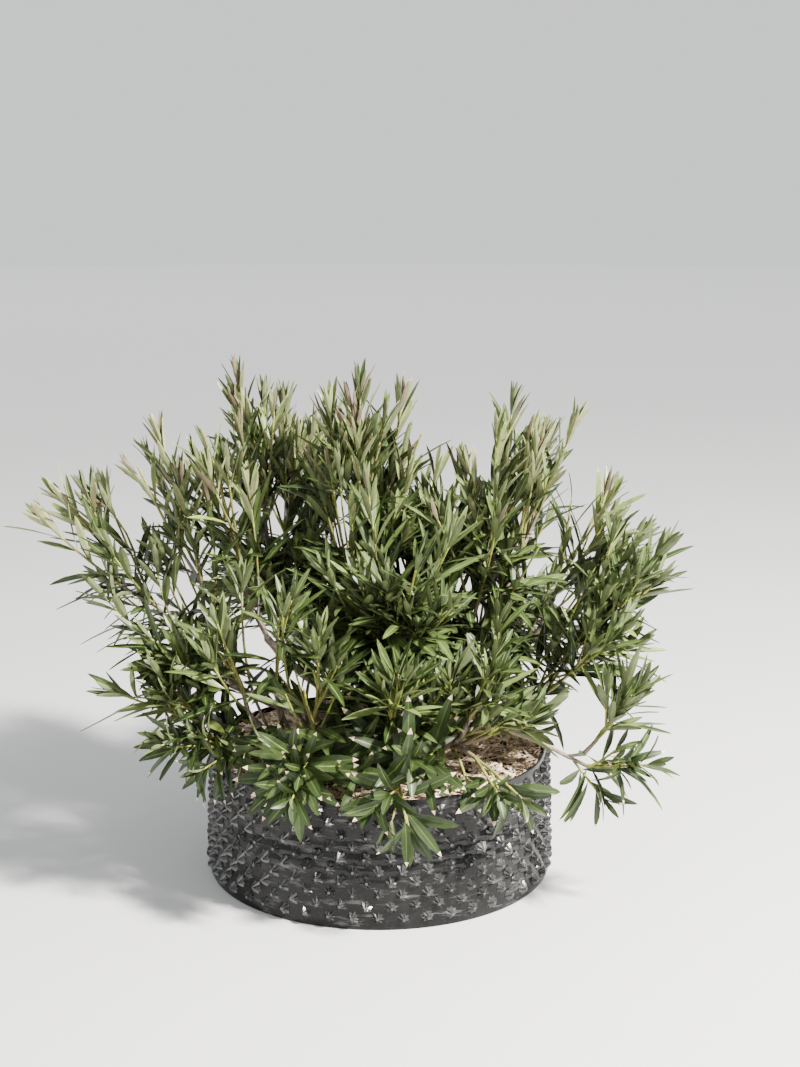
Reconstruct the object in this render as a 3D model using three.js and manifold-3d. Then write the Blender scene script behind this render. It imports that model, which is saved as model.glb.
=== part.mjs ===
// A potted oleander: a many-stemmed evergreen shrub in a low, wide air-pruning pot mulched with wood chips.
// Millimetres, +Z up. The origin is the centre of the pot's flat underside, and the front faces -Y.
// A bearing is measured anticlockwise from +X, and a lean is measured from straight up.
import * as THREE from 'three';
import { mergeVertices } from 'three/addons/utils/BufferGeometryUtils.js';
import Module from 'manifold-3d';

const wasm = await Module();
wasm.setup();

// ---- Driving sizes ------------------------------------------------------------------------------
const CLEARANCE = 0.3; // between pieces that touch

const POT = {
  height: 246,
  footRadius: 335,
  rimRadius: 327,
  wall: 7,
  floor: 10,
  columns: 92, // nubs and hollows round the wall, so 46 nubs stand in each ring
  rings: 11,
  nub: 9, // how far a nub stands out
  liningSides: 24,
};

const MULCH = { edge: 230, middle: 243, lump: 3, lumpsRound: 5, flatRadius: 104, shoulders: 3 };

const STUMP = { height: 116, flareRadius: 98, neckRadius: 74, sides: 14 };

const LIMB = { sides: 6, steps: 3, footRadius: 10.5, tipRadius: 8, sag: 0.07, sunk: 34 };

// Twigs are three-sided, and these are the distances from their middle to their corners.
const TWIG = { sides: 3, internode: 89, stemRadius: 6, forkRadius: 6, leaderRadius: 3.4, tipRadius: 3.4 };

const FORK = {
  share: 0.56, // of a mass's reach that its stem covers before it forks
  threeFrom: 412, // a mass as long as this forks in three, and a shorter one in two
  stagger: 13,
  spread: 27,
  lift: 0.12,
  shortest: 0.64, // of the straight leader, for one that spreads
  longest: 0.94,
  tries: 6,
};

const LEAF = {
  length: 146,
  width: 39,
  thickness: 3,
  arch: 4, // how far its widest part stands above its root and tip
  widestAt: 0.42, // share of the length
  perWhorl: 3,
  stagger: 5, // between one leaf of a whorl and the next, along the shoot
  tuftOpen: 19, // degrees between shoot and leaf in the tuft at its tip
  agedOpen: 62, // and three internodes down
  rosetteOpen: 78, // and all along a shoot that reaches over the rim
  shortest: 0.86,
  longest: 1.06,
  tries: 9, // other bearings, each on a shorter leaf, before a leaf is left out
  reach: 0.84, // share of a leaf's length by which the tuft passes the end of its shoot
  margin: 2, // clear space kept round each leaf
  apart: 22, // least distance between the middles of two leaves, past their roots
};

const FOOT = new THREE.Vector3(0, 0, 300); // the point from which the boughs are laid out
const SEED = 4100;

// Each bough is laid out from FOOT, and each of its masses of foliage from the bough's tip to the mass's
// furthest leaves.
const BOUGHS = [
  { name: 'left', bearing: 192, lean: 75, length: 285, masses: [
    { name: 'left_far', bearing: 168, lean: 45, length: 568 },
    { name: 'left_tall', bearing: 153, lean: 20, length: 556 },
    { name: 'left_front', bearing: 220, lean: 58, length: 315 }] },
  { name: 'left_rim', bearing: 212, lean: 87, length: 260, masses: [
    { name: 'left_low', bearing: 195, lean: 74, length: 335 },
    { name: 'left_under', bearing: 215, lean: 92, length: 268, rosette: true },
    { name: 'left_mid', bearing: 228, lean: 27, length: 315 }] },
  { name: 'left_inner', bearing: 184, lean: 53, length: 275, masses: [
    { name: 'left_inner_tall', bearing: 196, lean: 16, length: 450 }] },
  { name: 'tall', bearing: 152, lean: 50, length: 260, masses: [
    { name: 'tall_left', bearing: 176, lean: 12, length: 550 },
    { name: 'tall_right', bearing: 100, lean: 13, length: 485 }] },
  { name: 'back_left', bearing: 116, lean: 60, length: 250, masses: [
    { name: 'top_back', bearing: 95, lean: 15, length: 480 },
    { name: 'back_left_mid', bearing: 129, lean: 46, length: 410 },
    { name: 'back_left_low', bearing: 141, lean: 78, length: 350 }] },
  { name: 'centre', bearing: 146, lean: 13, length: 200, masses: [
    { name: 'centre_left', bearing: 275, lean: 5, length: 505 },
    { name: 'centre_right', bearing: 19, lean: 12, length: 480 }] },
  { name: 'centre_back', bearing: 69, lean: 61, length: 220, masses: [
    { name: 'centre_back_left', bearing: 38, lean: 9, length: 410 },
    { name: 'centre_back_far', bearing: 96, lean: 43, length: 400 }] },
  { name: 'inner_right', bearing: 38, lean: 46, length: 185, masses: [
    { name: 'inner_right_tall', bearing: 30, lean: 10, length: 410 },
    { name: 'inner_right_front', bearing: 273, lean: 39, length: 290 }] },
  { name: 'right_tall', bearing: 5, lean: 51, length: 250, masses: [
    { name: 'right_tall_left', bearing: 357, lean: 8, length: 490 },
    { name: 'right_tall_right', bearing: 15, lean: 26, length: 492 }] },
  { name: 'back_right', bearing: 44, lean: 76, length: 295, masses: [
    { name: 'back_right_top', bearing: 37, lean: 29, length: 410 },
    { name: 'back_right_low', bearing: 55, lean: 77, length: 340 }] },
  { name: 'right', bearing: 11, lean: 71, length: 290, masses: [
    { name: 'right_top', bearing: 16, lean: 30, length: 450 },
    { name: 'right_shoulder', bearing: 22, lean: 51, length: 415 }] },
  { name: 'right_far', bearing: 352, lean: 83, length: 275, masses: [
    { name: 'right_tip', bearing: 359, lean: 42, length: 465 },
    { name: 'right_side', bearing: 331, lean: 52, length: 347 }] },
  { name: 'right_arc', bearing: 332, lean: 93, length: 410, masses: [
    { name: 'arc_up', bearing: 351, lean: 43, length: 252 },
    { name: 'arc_low', bearing: 333, lean: 92, length: 215, rosette: true }] },
  { name: 'front_left', bearing: 239, lean: 91, length: 225, masses: [
    { name: 'front_left_up', bearing: 282, lean: 13, length: 295 },
    { name: 'front_left_rim', bearing: 259, lean: 89, length: 245, rosette: true }] },
  { name: 'front', bearing: 276, lean: 90, length: 210, masses: [
    { name: 'front_up', bearing: 279, lean: 31, length: 260 },
    { name: 'front_rim', bearing: 278, lean: 98, length: 270, rosette: true }] },
  { name: 'front_right', bearing: 308, lean: 89, length: 235, masses: [
    { name: 'front_right_up', bearing: 318, lean: 28, length: 275 },
    { name: 'right_spray', bearing: 1, lean: 72, length: 245 },
    { name: 'front_right_rim', bearing: 306, lean: 95, length: 250, rosette: true }] },
  { name: 'front_inner', bearing: 280, lean: 41, length: 170, masses: [
    { name: 'front_inner_left', bearing: 233, lean: 26, length: 270 },
    { name: 'front_inner_right', bearing: 314, lean: 50, length: 285 }] },
  { name: 'back_low', bearing: 82, lean: 85, length: 215, masses: [
    { name: 'back_low_left', bearing: 115, lean: 77, length: 345 },
    { name: 'back_low_right', bearing: 63, lean: 82, length: 370 }] },
];

// ---- Small helpers ------------------------------------------------------------------------------
const radians = THREE.MathUtils.degToRad;
const lerp = THREE.MathUtils.lerp;

function seededRandom(seed) {
  let state = seed >>> 0;
  return () => {
    state = (state + 0x6d2b79f5) >>> 0;
    let t = Math.imul(state ^ (state >>> 15), state | 1);
    t ^= t + Math.imul(t ^ (t >>> 7), t | 61);
    return ((t ^ (t >>> 14)) >>> 0) / 4294967296;
  };
}

function heading(bearing, lean) {
  const [b, l] = [radians(bearing), radians(lean)];
  return new THREE.Vector3(Math.sin(l) * Math.cos(b), Math.sin(l) * Math.sin(b), Math.cos(l));
}

const along = (start, direction, distance) => start.clone().addScaledVector(direction, distance);

// A direction tilted away from the axis by an angle, on the side that turn picks out, both in degrees.
function tilted(axis, angle, turn) {
  const side = Math.abs(axis.z) < 0.9 ? new THREE.Vector3(0, 0, 1) : new THREE.Vector3(1, 0, 0);
  const u = side.cross(axis).normalize();
  const v = axis.clone().cross(u);
  const radial = u.multiplyScalar(Math.cos(radians(turn))).addScaledVector(v, Math.sin(radians(turn)));
  const ahead = axis.clone().multiplyScalar(Math.cos(radians(angle)));
  return ahead.addScaledVector(radial, Math.sin(radians(angle)));
}

// ---- From three.js geometry to solids and back --------------------------------------------------
function solidOf(geometry) {
  const bare = new THREE.BufferGeometry().setAttribute('position', geometry.getAttribute('position'));
  if (geometry.index) bare.setIndex(geometry.index);
  const merged = mergeVertices(bare, 1e-4);
  return new wasm.Manifold(
    new wasm.Mesh({
      numProp: 3,
      vertProperties: new Float32Array(merged.attributes.position.array),
      triVerts: new Uint32Array(merged.index.array),
    }),
  );
}

function geometryOf(solid) {
  const mesh = solid.getMesh();
  const geometry = new THREE.BufferGeometry();
  geometry.setAttribute('position', new THREE.BufferAttribute(new Float32Array(mesh.vertProperties), 3));
  geometry.setIndex(new THREE.BufferAttribute(new Uint32Array(mesh.triVerts), 1));
  geometry.computeVertexNormals();
  return geometry;
}

// The largest of a solid's separate bodies, so that no loose scrap is kept.
function mainBody(solid) {
  return solid.decompose().reduce((best, next) => (next.volume() > best.volume() ? next : best));
}

// Moves every vertex of a geometry by a function that changes it in place.
function reshape(geometry, change) {
  const places = geometry.getAttribute('position');
  const point = new THREE.Vector3();
  for (let i = 0; i < places.count; i++) {
    point.fromBufferAttribute(places, i);
    change(point);
    places.setXYZ(i, point.x, point.y, point.z);
  }
  return geometry;
}

// ---- Pot and mulch ------------------------------------------------------------------------------
// The wall between two rings is split so that each nub is a pyramid of its own on a flat sheet.
function nubbedCylinder() {
  const { columns, rings, height } = POT;
  const drum = new THREE.CylinderGeometry(POT.rimRadius, POT.footRadius, height, columns, rings);
  const split = Array.from(drum.index.array);
  for (let row = 0; row < rings; row++) {
    for (let column = 0; column < columns; column++) {
      const upper = row * (columns + 1) + column;
      const lower = upper + columns + 1;
      const first = 6 * (row * columns + column);
      const faces =
        (row + column) % 2
          ? [upper, lower, upper + 1, lower, lower + 1, upper + 1]
          : [upper, lower, lower + 1, upper, lower + 1, upper + 1];
      faces.forEach((vertex, k) => (split[first + k] = vertex));
    }
  }
  drum.setIndex(split);
  return reshape(drum, (p) => {
    const row = Math.round((0.5 - p.y / height) * rings);
    const column = Math.round((Math.atan2(p.x, p.z) / (2 * Math.PI)) * columns);
    const radius = Math.hypot(p.x, p.z);
    const isNub = row > 0 && row < rings && radius > POT.rimRadius / 2 && (row + column) % 2 !== 0;
    const out = isNub ? (radius + POT.nub) / radius : 1;
    p.x *= out;
    p.z *= out;
  })
    .rotateX(Math.PI / 2)
    .translate(0, 0, height / 2);
}

function potGeometry() {
  const [rimRadius, footRadius] = [POT.rimRadius - POT.wall, POT.footRadius - POT.wall];
  const depth = POT.height; // more than the inside's own depth, so that it opens at the rim
  const inside = new THREE.CylinderGeometry(rimRadius, footRadius, depth, POT.liningSides);
  inside.rotateX(Math.PI / 2).translate(0, 0, POT.floor + depth / 2);
  return geometryOf(solidOf(nubbedCylinder()).subtract(solidOf(inside)));
}

// Wood chips heaped a little towards the middle, level where the stump stands.
function mulchGeometry() {
  const inset = POT.wall + 2 * CLEARANCE;
  const lowest = POT.floor + CLEARANCE;
  const edgeRadius = POT.rimRadius - inset;
  const profile = [[0, lowest], [POT.footRadius - inset, lowest]];
  for (let i = 0; i <= MULCH.shoulders; i++) {
    const share = i / MULCH.shoulders;
    const rise = lerp(MULCH.edge, MULCH.middle, Math.sin((share * Math.PI) / 2));
    profile.push([lerp(edgeRadius, MULCH.flatRadius, share), rise]);
  }
  profile.push([0, MULCH.middle]);
  const heap = new THREE.LatheGeometry(
    profile.map(([r, y]) => new THREE.Vector2(r, y)),
    POT.liningSides,
  );
  return reshape(heap, (p) => {
    const radius = Math.hypot(p.x, p.z);
    const isLumpy = p.y > MULCH.edge && radius > MULCH.flatRadius * 1.05;
    if (!isLumpy) return;
    const angle = Math.atan2(p.x, p.z);
    const wave = Math.sin(MULCH.lumpsRound * angle + radius / 30) * Math.cos(3 * angle - radius / 50);
    p.y += MULCH.lump * wave;
  }).rotateX(Math.PI / 2);
}

// The short woody foot in the middle of the pot, flared at the mulch and domed where the boughs leave it.
function stumpGeometry(grown = 0) {
  const profile = [
    [0, -grown],
    [STUMP.flareRadius + grown, -grown],
    [STUMP.flareRadius * 0.85 + grown, STUMP.height * 0.12],
    [STUMP.neckRadius + grown, STUMP.height * 0.32],
  ];
  const rings = 4;
  for (let i = 1; i < rings; i++) {
    const angle = (i / rings) * (Math.PI / 2);
    const rise = STUMP.height * (0.45 + 0.55 * Math.sin(angle));
    profile.push([STUMP.neckRadius * Math.cos(angle) + grown, rise + grown]);
  }
  profile.push([0, STUMP.height + grown]);
  const points = profile.map(([r, y]) => new THREE.Vector2(r, y));
  return new THREE.LatheGeometry(points, STUMP.sides).rotateX(Math.PI / 2);
}

// ---- Boughs, stems and shoots -------------------------------------------------------------------
// A round limb that tapers along a curve: a cylinder bent onto it.
function limbGeometry(curve, startRadius, endRadius, sides, steps) {
  const frames = curve.computeFrenetFrames(steps, false);
  const cylinder = new THREE.CylinderGeometry(1, 1, 1, sides, steps);
  return reshape(cylinder, (p) => {
    const t = p.y + 0.5;
    const ring = Math.round(t * steps);
    const radius = lerp(startRadius, endRadius, t);
    const [x, z] = [p.x * radius, p.z * radius];
    p.copy(curve.getPointAt(t));
    p.addScaledVector(frames.normals[ring], x).addScaledVector(frames.binormals[ring], -z);
  });
}

// A limb sags below its chord, so that it leaves the foot leaning out and ends rising.
function boughCurve(bough) {
  const chord = heading(bough.bearing, bough.lean);
  const out = heading(bough.bearing, 90);
  const sagging = out.clone().addScaledVector(chord, -out.dot(chord)).normalize();
  const tip = along(FOOT, chord, bough.length);
  const start = along(FOOT, chord, STUMP.neckRadius - LIMB.sunk);
  const sag = LIMB.sag * bough.length * 2;
  const control = along(start.clone().lerp(tip, 0.5), sagging, sag);
  return new THREE.QuadraticBezierCurve3(start, control, tip);
}

// A shoot is straight from one whorl to the next.
function shootOf(curve, startRadius, endRadius, isStem) {
  const internodes = Math.max(1, Math.round(curve.getLength() / TWIG.internode));
  return { curve, radii: [startRadius, endRadius], internodes, isStem };
}

// The stem of a mass leaves the bough's end and forks into leaders. The first carries straight on, and the
// others spread and bend up. A leader that leaves the mass's space is tried again, closer to its line.
function shootsOf(mass) {
  const random = seededRandom(mass.seed);
  const reach = mass.length - LEAF.reach * LEAF.length;
  const stemLength = reach * FORK.share;
  const fork = along(mass.start, mass.axis, stemLength);
  const stemBend = along(mass.start, mass.bough.end, stemLength * 0.35);
  const stem = new THREE.QuadraticBezierCurve3(mass.start, stemBend, fork);
  const shoots = [shootOf(stem, TWIG.stemRadius, TWIG.forkRadius, true)];
  const leaders = mass.length < FORK.threeFrom ? 2 : 3;
  const phase = random() * 360;
  for (let i = 0; i < leaders; i++) {
    const start = along(fork, stem.getTangent(1), -TWIG.leaderRadius - i * FORK.stagger);
    const spreads = i > 0;
    for (let k = 0; k < FORK.tries; k++) {
      const spread = spreads ? FORK.spread * (1 - k / FORK.tries) : 0;
      const turn = phase + (i * 360) / leaders + (random() * 2 - 1) * 25;
      const share = lerp(FORK.shortest, FORK.longest, random());
      const length = (reach - stemLength) * (spreads ? share : 1);
      const tip = along(fork, tilted(mass.axis, spread, turn), length);
      if (spreads) tip.z += FORK.lift * length;
      const bend = start.clone().lerp(tip, 0.5).addScaledVector(mass.axis, -0.06 * length);
      const leader = new THREE.QuadraticBezierCurve3(start, bend, tip);
      if (!fits(mass, leader.getPoints(4).slice(1), TWIG.leaderRadius)) continue;
      shoots.push(shootOf(leader, TWIG.leaderRadius, TWIG.tipRadius, false));
      break;
    }
  }
  return shoots;
}

// ---- Leaves -------------------------------------------------------------------------------------
// A blade of six faces along +X from its root at the origin, with a keel below its widest part. Its upper
// side is +Z.
function leafGeometry(length) {
  const blade = new THREE.ConeGeometry(1, 1, 3);
  const widest = LEAF.widestAt * length;
  return reshape(blade, (p) => {
    const isEnd = Math.hypot(p.x, p.z) < 0.5;
    const isKeel = p.z > 0.9;
    if (isEnd) p.set(p.y > 0 ? length : 0, 0, 0);
    else if (isKeel) p.set(widest, 0, LEAF.arch - LEAF.thickness);
    else p.set(widest, Math.sign(p.x) * (LEAF.width / 2), LEAF.arch);
  });
}

// The places of a shoot's leaves, whorl by whorl from its tip down, each with several ways to stand.
function leavesOf(shoot, mass, random) {
  const leaves = [];
  const bare = shoot.isStem && shoot.internodes > 1 ? 1 : 0;
  for (let node = shoot.internodes; node > bare; node--) {
    const down = shoot.internodes - node + (shoot.isStem ? 1.5 : 0);
    const t = node / shoot.internodes;
    const axis = shoot.curve.getTangentAt(t);
    const age = Math.min(1, down / 3);
    const open = mass.rosette ? LEAF.rosetteOpen : lerp(LEAF.tuftOpen, LEAF.agedOpen, age);
    const phase = random() * 40 + node * 60;
    for (let i = 0; i < LEAF.perWhorl; i++) {
      const below = down ? (i - 1) * LEAF.stagger : (i + 0.6) * LEAF.stagger;
      const joint = along(shoot.curve.getPointAt(t), axis, -below);
      const turn = phase + (i * 360) / LEAF.perWhorl;
      const ways = [];
      for (let k = 0; k <= LEAF.tries; k++) {
        const angle = open + (random() * 2 - 1) * 8;
        const direction = tilted(axis, angle, turn + (random() * 2 - 1) * (14 + 9 * k));
        const length = LEAF.length * lerp(LEAF.shortest, LEAF.longest, random()) * (1 - 0.04 * k);
        // The root is sunk past the shoot's middle, as far as its far side allows.
        const root = along(joint, direction, (-0.4 * shoot.radii[1]) / Math.sin(radians(angle)));
        ways.push({ root, axis, direction, length });
      }
      leaves.push(ways);
    }
  }
  return leaves;
}

// A leaf's frame: X along it, Y across it, and Z to its upper side, which faces the shoot.
function leafFrame(leaf) {
  const across = leaf.axis.clone().cross(leaf.direction).normalize();
  const upper = leaf.direction.clone().cross(across);
  return new THREE.Matrix4().makeBasis(leaf.direction, across, upper).setPosition(leaf.root);
}

// ---- The space that each mass keeps to ----------------------------------------------------------
// The stems of a bough's masses start evenly round its end, in the order in which their tops lie round it.
function layMasses(bough) {
  const [tip, end] = [bough.curve.getPoint(1), bough.end];
  const laid = bough.masses.map((mass) => {
    const top = along(tip, heading(mass.bearing, mass.lean), mass.length);
    return { ...mass, bough, top };
  });
  const middle = laid.reduce((sum, mass) => sum.add(mass.top), new THREE.Vector3());
  middle.divideScalar(laid.length);
  const first = laid[0].top.clone().sub(middle);
  first.addScaledVector(end, -first.dot(end)).normalize();
  const second = end.clone().cross(first);
  const turnOf = (mass) => {
    const apart = mass.top.clone().sub(middle);
    const turn = Math.atan2(apart.dot(second), apart.dot(first));
    return turn < -1e-6 ? turn + 2 * Math.PI : turn;
  };
  laid.sort((a, b) => turnOf(a) - turnOf(b));
  const fromMiddle = (TWIG.stemRadius + CLEARANCE) / Math.sin(Math.PI / laid.length);
  laid.forEach((mass, i) => {
    const turn = (i * 2 * Math.PI) / laid.length;
    mass.start = along(tip, end, CLEARANCE);
    mass.start.addScaledVector(first, fromMiddle * Math.cos(turn));
    mass.start.addScaledVector(second, fromMiddle * Math.sin(turn));
    mass.axis = mass.top.clone().sub(mass.start).normalize();
    mass.line = new THREE.Line3(mass.start, mass.top);
  });
  return laid;
}

const boughs = BOUGHS.map((bough) => {
  const curve = boughCurve(bough);
  return { ...bough, curve, end: curve.getTangent(1) };
});
const masses = boughs.flatMap(layMasses);
masses.forEach((mass, i) => (mass.seed = SEED + i));
const limbPoints = boughs.flatMap((bough) => bough.curve.getSpacedPoints(16));

const nearest = new THREE.Vector3();
const distanceTo = (line, point) => line.closestPointToPoint(point, true, nearest).distanceTo(point);

// A point is in a mass's space if it is nearer to that mass's own line than to any other's.
function inOwnSpace(mass, point, margin) {
  const own = distanceTo(mass.line, point);
  return masses.every((other) => other === mass || distanceTo(other.line, point) > own + 2 * margin);
}

function clearOfLimbs(point, margin) {
  const nearLimb = LIMB.footRadius + margin;
  if (limbPoints.some((p) => p.distanceToSquared(point) < nearLimb * nearLimb)) return false;
  const outFromAxis = Math.hypot(point.x, point.y);
  const overPot = outFromAxis < POT.footRadius + POT.nub + margin;
  const ground = outFromAxis > POT.rimRadius - 40 ? POT.height : MULCH.middle + MULCH.lump;
  const low = point.z < ground + margin;
  return !(overPot && low) && point.z > margin;
}

function fits(mass, points, margin) {
  return points.every((point) => inOwnSpace(mass, point, margin) && clearOfLimbs(point, margin));
}

// Points down both edges of a leaf and along its middle, from where it leaves its shoot.
function leafOutline(leaf, frame) {
  const points = [];
  for (const share of [0.16, 0.3, LEAF.widestAt, 0.62, 0.8, 1]) {
    const fullness = share < LEAF.widestAt ? share / LEAF.widestAt : (1 - share) / (1 - LEAF.widestAt);
    for (const side of [-1, 0, 1]) {
      const across = (side * fullness * LEAF.width) / 2;
      const place = new THREE.Vector3(share * leaf.length, across, fullness * LEAF.arch);
      points.push(place.applyMatrix4(frame));
    }
  }
  return points;
}

// The first way in which a leaf fits its mass's space and stands apart from what is placed, or nothing.
function fittedLeaf(mass, ways, placed) {
  for (const leaf of ways) {
    const frame = leafFrame(leaf);
    const shares = [0.35, 0.5, 0.65, 0.8, 1];
    const middle = shares.map((share) => along(leaf.root, leaf.direction, share * leaf.length));
    const isApart = placed.every((point) => middle.every((other) => point.distanceTo(other) > LEAF.apart));
    if (isApart && fits(mass, leafOutline(leaf, frame), LEAF.margin)) {
      placed.push(...middle);
      return solidOf(leafGeometry(leaf.length).applyMatrix4(frame));
    }
  }
  return null;
}

function massSolid(mass) {
  const random = seededRandom(mass.seed * 7 + 3);
  const shoots = shootsOf(mass);
  const pieces = shoots.map((shoot) =>
    solidOf(limbGeometry(shoot.curve, ...shoot.radii, TWIG.sides, shoot.internodes)),
  );
  const placed = shoots.flatMap((shoot) => shoot.curve.getSpacedPoints(5));
  for (const shoot of shoots) {
    for (const ways of leavesOf(shoot, mass, random)) {
      const leaf = fittedLeaf(mass, ways, placed);
      if (leaf) pieces.push(leaf);
    }
  }
  return mainBody(wasm.Manifold.union(pieces));
}

function boughSolid(bough, grown = 0) {
  const path = bough.curve.clone();
  path.v2.addScaledVector(path.getTangent(1), grown);
  const radii = [LIMB.footRadius + grown, LIMB.tipRadius + grown];
  return solidOf(limbGeometry(path, ...radii, LIMB.sides, LIMB.steps));
}

// ---- The assembly -------------------------------------------------------------------------------
const FINISH = {
  potPlastic: new THREE.MeshStandardMaterial({ color: 0x26282a, roughness: 0.45, metalness: 0 }),
  woodChips: new THREE.MeshStandardMaterial({ color: 0xa98a68, roughness: 0.95, metalness: 0 }),
  bark: new THREE.MeshStandardMaterial({ color: 0x9a8570, roughness: 0.85, metalness: 0 }),
  foliage: new THREE.MeshStandardMaterial({ color: 0x55683c, roughness: 0.55, metalness: 0 }),
};

function addPiece(parent, name, geometry, finish, height = 0) {
  const mesh = new THREE.Mesh(geometry, finish);
  mesh.name = name;
  mesh.position.z = height;
  parent.add(mesh);
}

const stumpFoot = MULCH.middle + CLEARANCE;
const container = new THREE.Group();
addPiece(container, 'pot', potGeometry(), FINISH.potPlastic);
addPiece(container, 'mulch', mulchGeometry(), FINISH.woodChips);

const shrub = new THREE.Group();
addPiece(shrub, 'stump', stumpGeometry(), FINISH.bark, stumpFoot);
const stumpRoom = solidOf(stumpGeometry(CLEARANCE).translate(0, 0, stumpFoot));
for (const bough of boughs) {
  const limb = mainBody(boughSolid(bough).subtract(stumpRoom));
  addPiece(shrub, 'bough_' + bough.name, geometryOf(limb), FINISH.bark);
}
for (const mass of masses) {
  addPiece(shrub, 'foliage_' + mass.name, geometryOf(massSolid(mass)), FINISH.foliage);
}

const oleander = new THREE.Group();
oleander.add(container, shrub);

export default oleander;
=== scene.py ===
"""A potted oleander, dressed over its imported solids: pot, wood shreds, bark, twigs and leaves.

Metres and degrees, +Z up. The origin is the centre of the pot's underside, and the front faces -Y.
"""

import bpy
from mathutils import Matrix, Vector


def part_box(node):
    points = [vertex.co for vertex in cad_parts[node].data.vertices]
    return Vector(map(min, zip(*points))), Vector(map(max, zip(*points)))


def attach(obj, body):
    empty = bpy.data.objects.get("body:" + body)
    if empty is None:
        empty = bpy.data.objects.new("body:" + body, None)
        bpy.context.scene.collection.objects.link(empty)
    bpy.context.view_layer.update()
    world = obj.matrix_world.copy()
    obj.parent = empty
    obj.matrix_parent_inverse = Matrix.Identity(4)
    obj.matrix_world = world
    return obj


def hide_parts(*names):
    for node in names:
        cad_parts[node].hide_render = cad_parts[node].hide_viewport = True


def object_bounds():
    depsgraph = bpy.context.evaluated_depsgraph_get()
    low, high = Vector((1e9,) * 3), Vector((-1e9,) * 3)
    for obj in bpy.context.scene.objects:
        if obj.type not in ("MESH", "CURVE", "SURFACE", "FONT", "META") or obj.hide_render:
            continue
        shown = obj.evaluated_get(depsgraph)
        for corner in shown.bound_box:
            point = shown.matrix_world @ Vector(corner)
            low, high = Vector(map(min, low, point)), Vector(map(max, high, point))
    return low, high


bl_info = {
    "name": "Potted oleander",
    "version": (1, 0, 0),
    "blender": (4, 5, 0),
    "location": "View3D > Sidebar > Oleander",
    "description": "Dresses a potted oleander over its solids, and sets its stage",
    "category": "Object",
}

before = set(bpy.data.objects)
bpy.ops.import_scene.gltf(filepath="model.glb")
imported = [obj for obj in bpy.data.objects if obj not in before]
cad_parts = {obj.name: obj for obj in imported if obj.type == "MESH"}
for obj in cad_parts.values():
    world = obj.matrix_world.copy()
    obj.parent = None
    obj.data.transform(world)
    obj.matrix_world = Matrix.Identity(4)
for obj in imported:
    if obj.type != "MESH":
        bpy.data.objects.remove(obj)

import functools
import math
from collections import namedtuple

import bmesh
import bpy
import numpy as np
from mathutils import Vector, noise

CAD_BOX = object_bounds()
POT_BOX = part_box("pot")

# ---- The rule that the solids grow by, in metres ---------------------------------------------------

SEED = 4100
FOOT = np.array([0.0, 0.0, 0.300])  # the point from which the boughs are laid out
UP = np.array([0.0, 0.0, 1.0])
CLEARANCE = 0.0003

STUMP = {"height": 0.116, "flare": 0.098, "neck": 0.074, "stands_at": 0.2433}
LIMB = {"foot": 0.0105, "tip": 0.008, "sag": 0.07, "sunk": 0.034}
STEM_RADIUS, LEADER_RADIUS = 0.006, 0.0034
SOLID_LEAF, LEAF_REACH = 0.146, 0.84
FORK = {
    "share": 0.56,
    "three_from": 0.412,
    "stagger": 0.013,
    "spread": 27.0,
    "lift": 0.12,
    "shortest": 0.64,  # of the straight leader, for one that spreads
    "longest": 0.94,
    "tries": 6,
}
POT = {"rim": 0.327, "foot": 0.335, "height": 0.246, "nub": 0.009, "near_rim": 0.040}
MULCH = {"edge": 0.230, "middle": 0.243, "lump": 0.003, "flat": 0.104, "radius": 0.3194, "shreds_out": 0.320}

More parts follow.
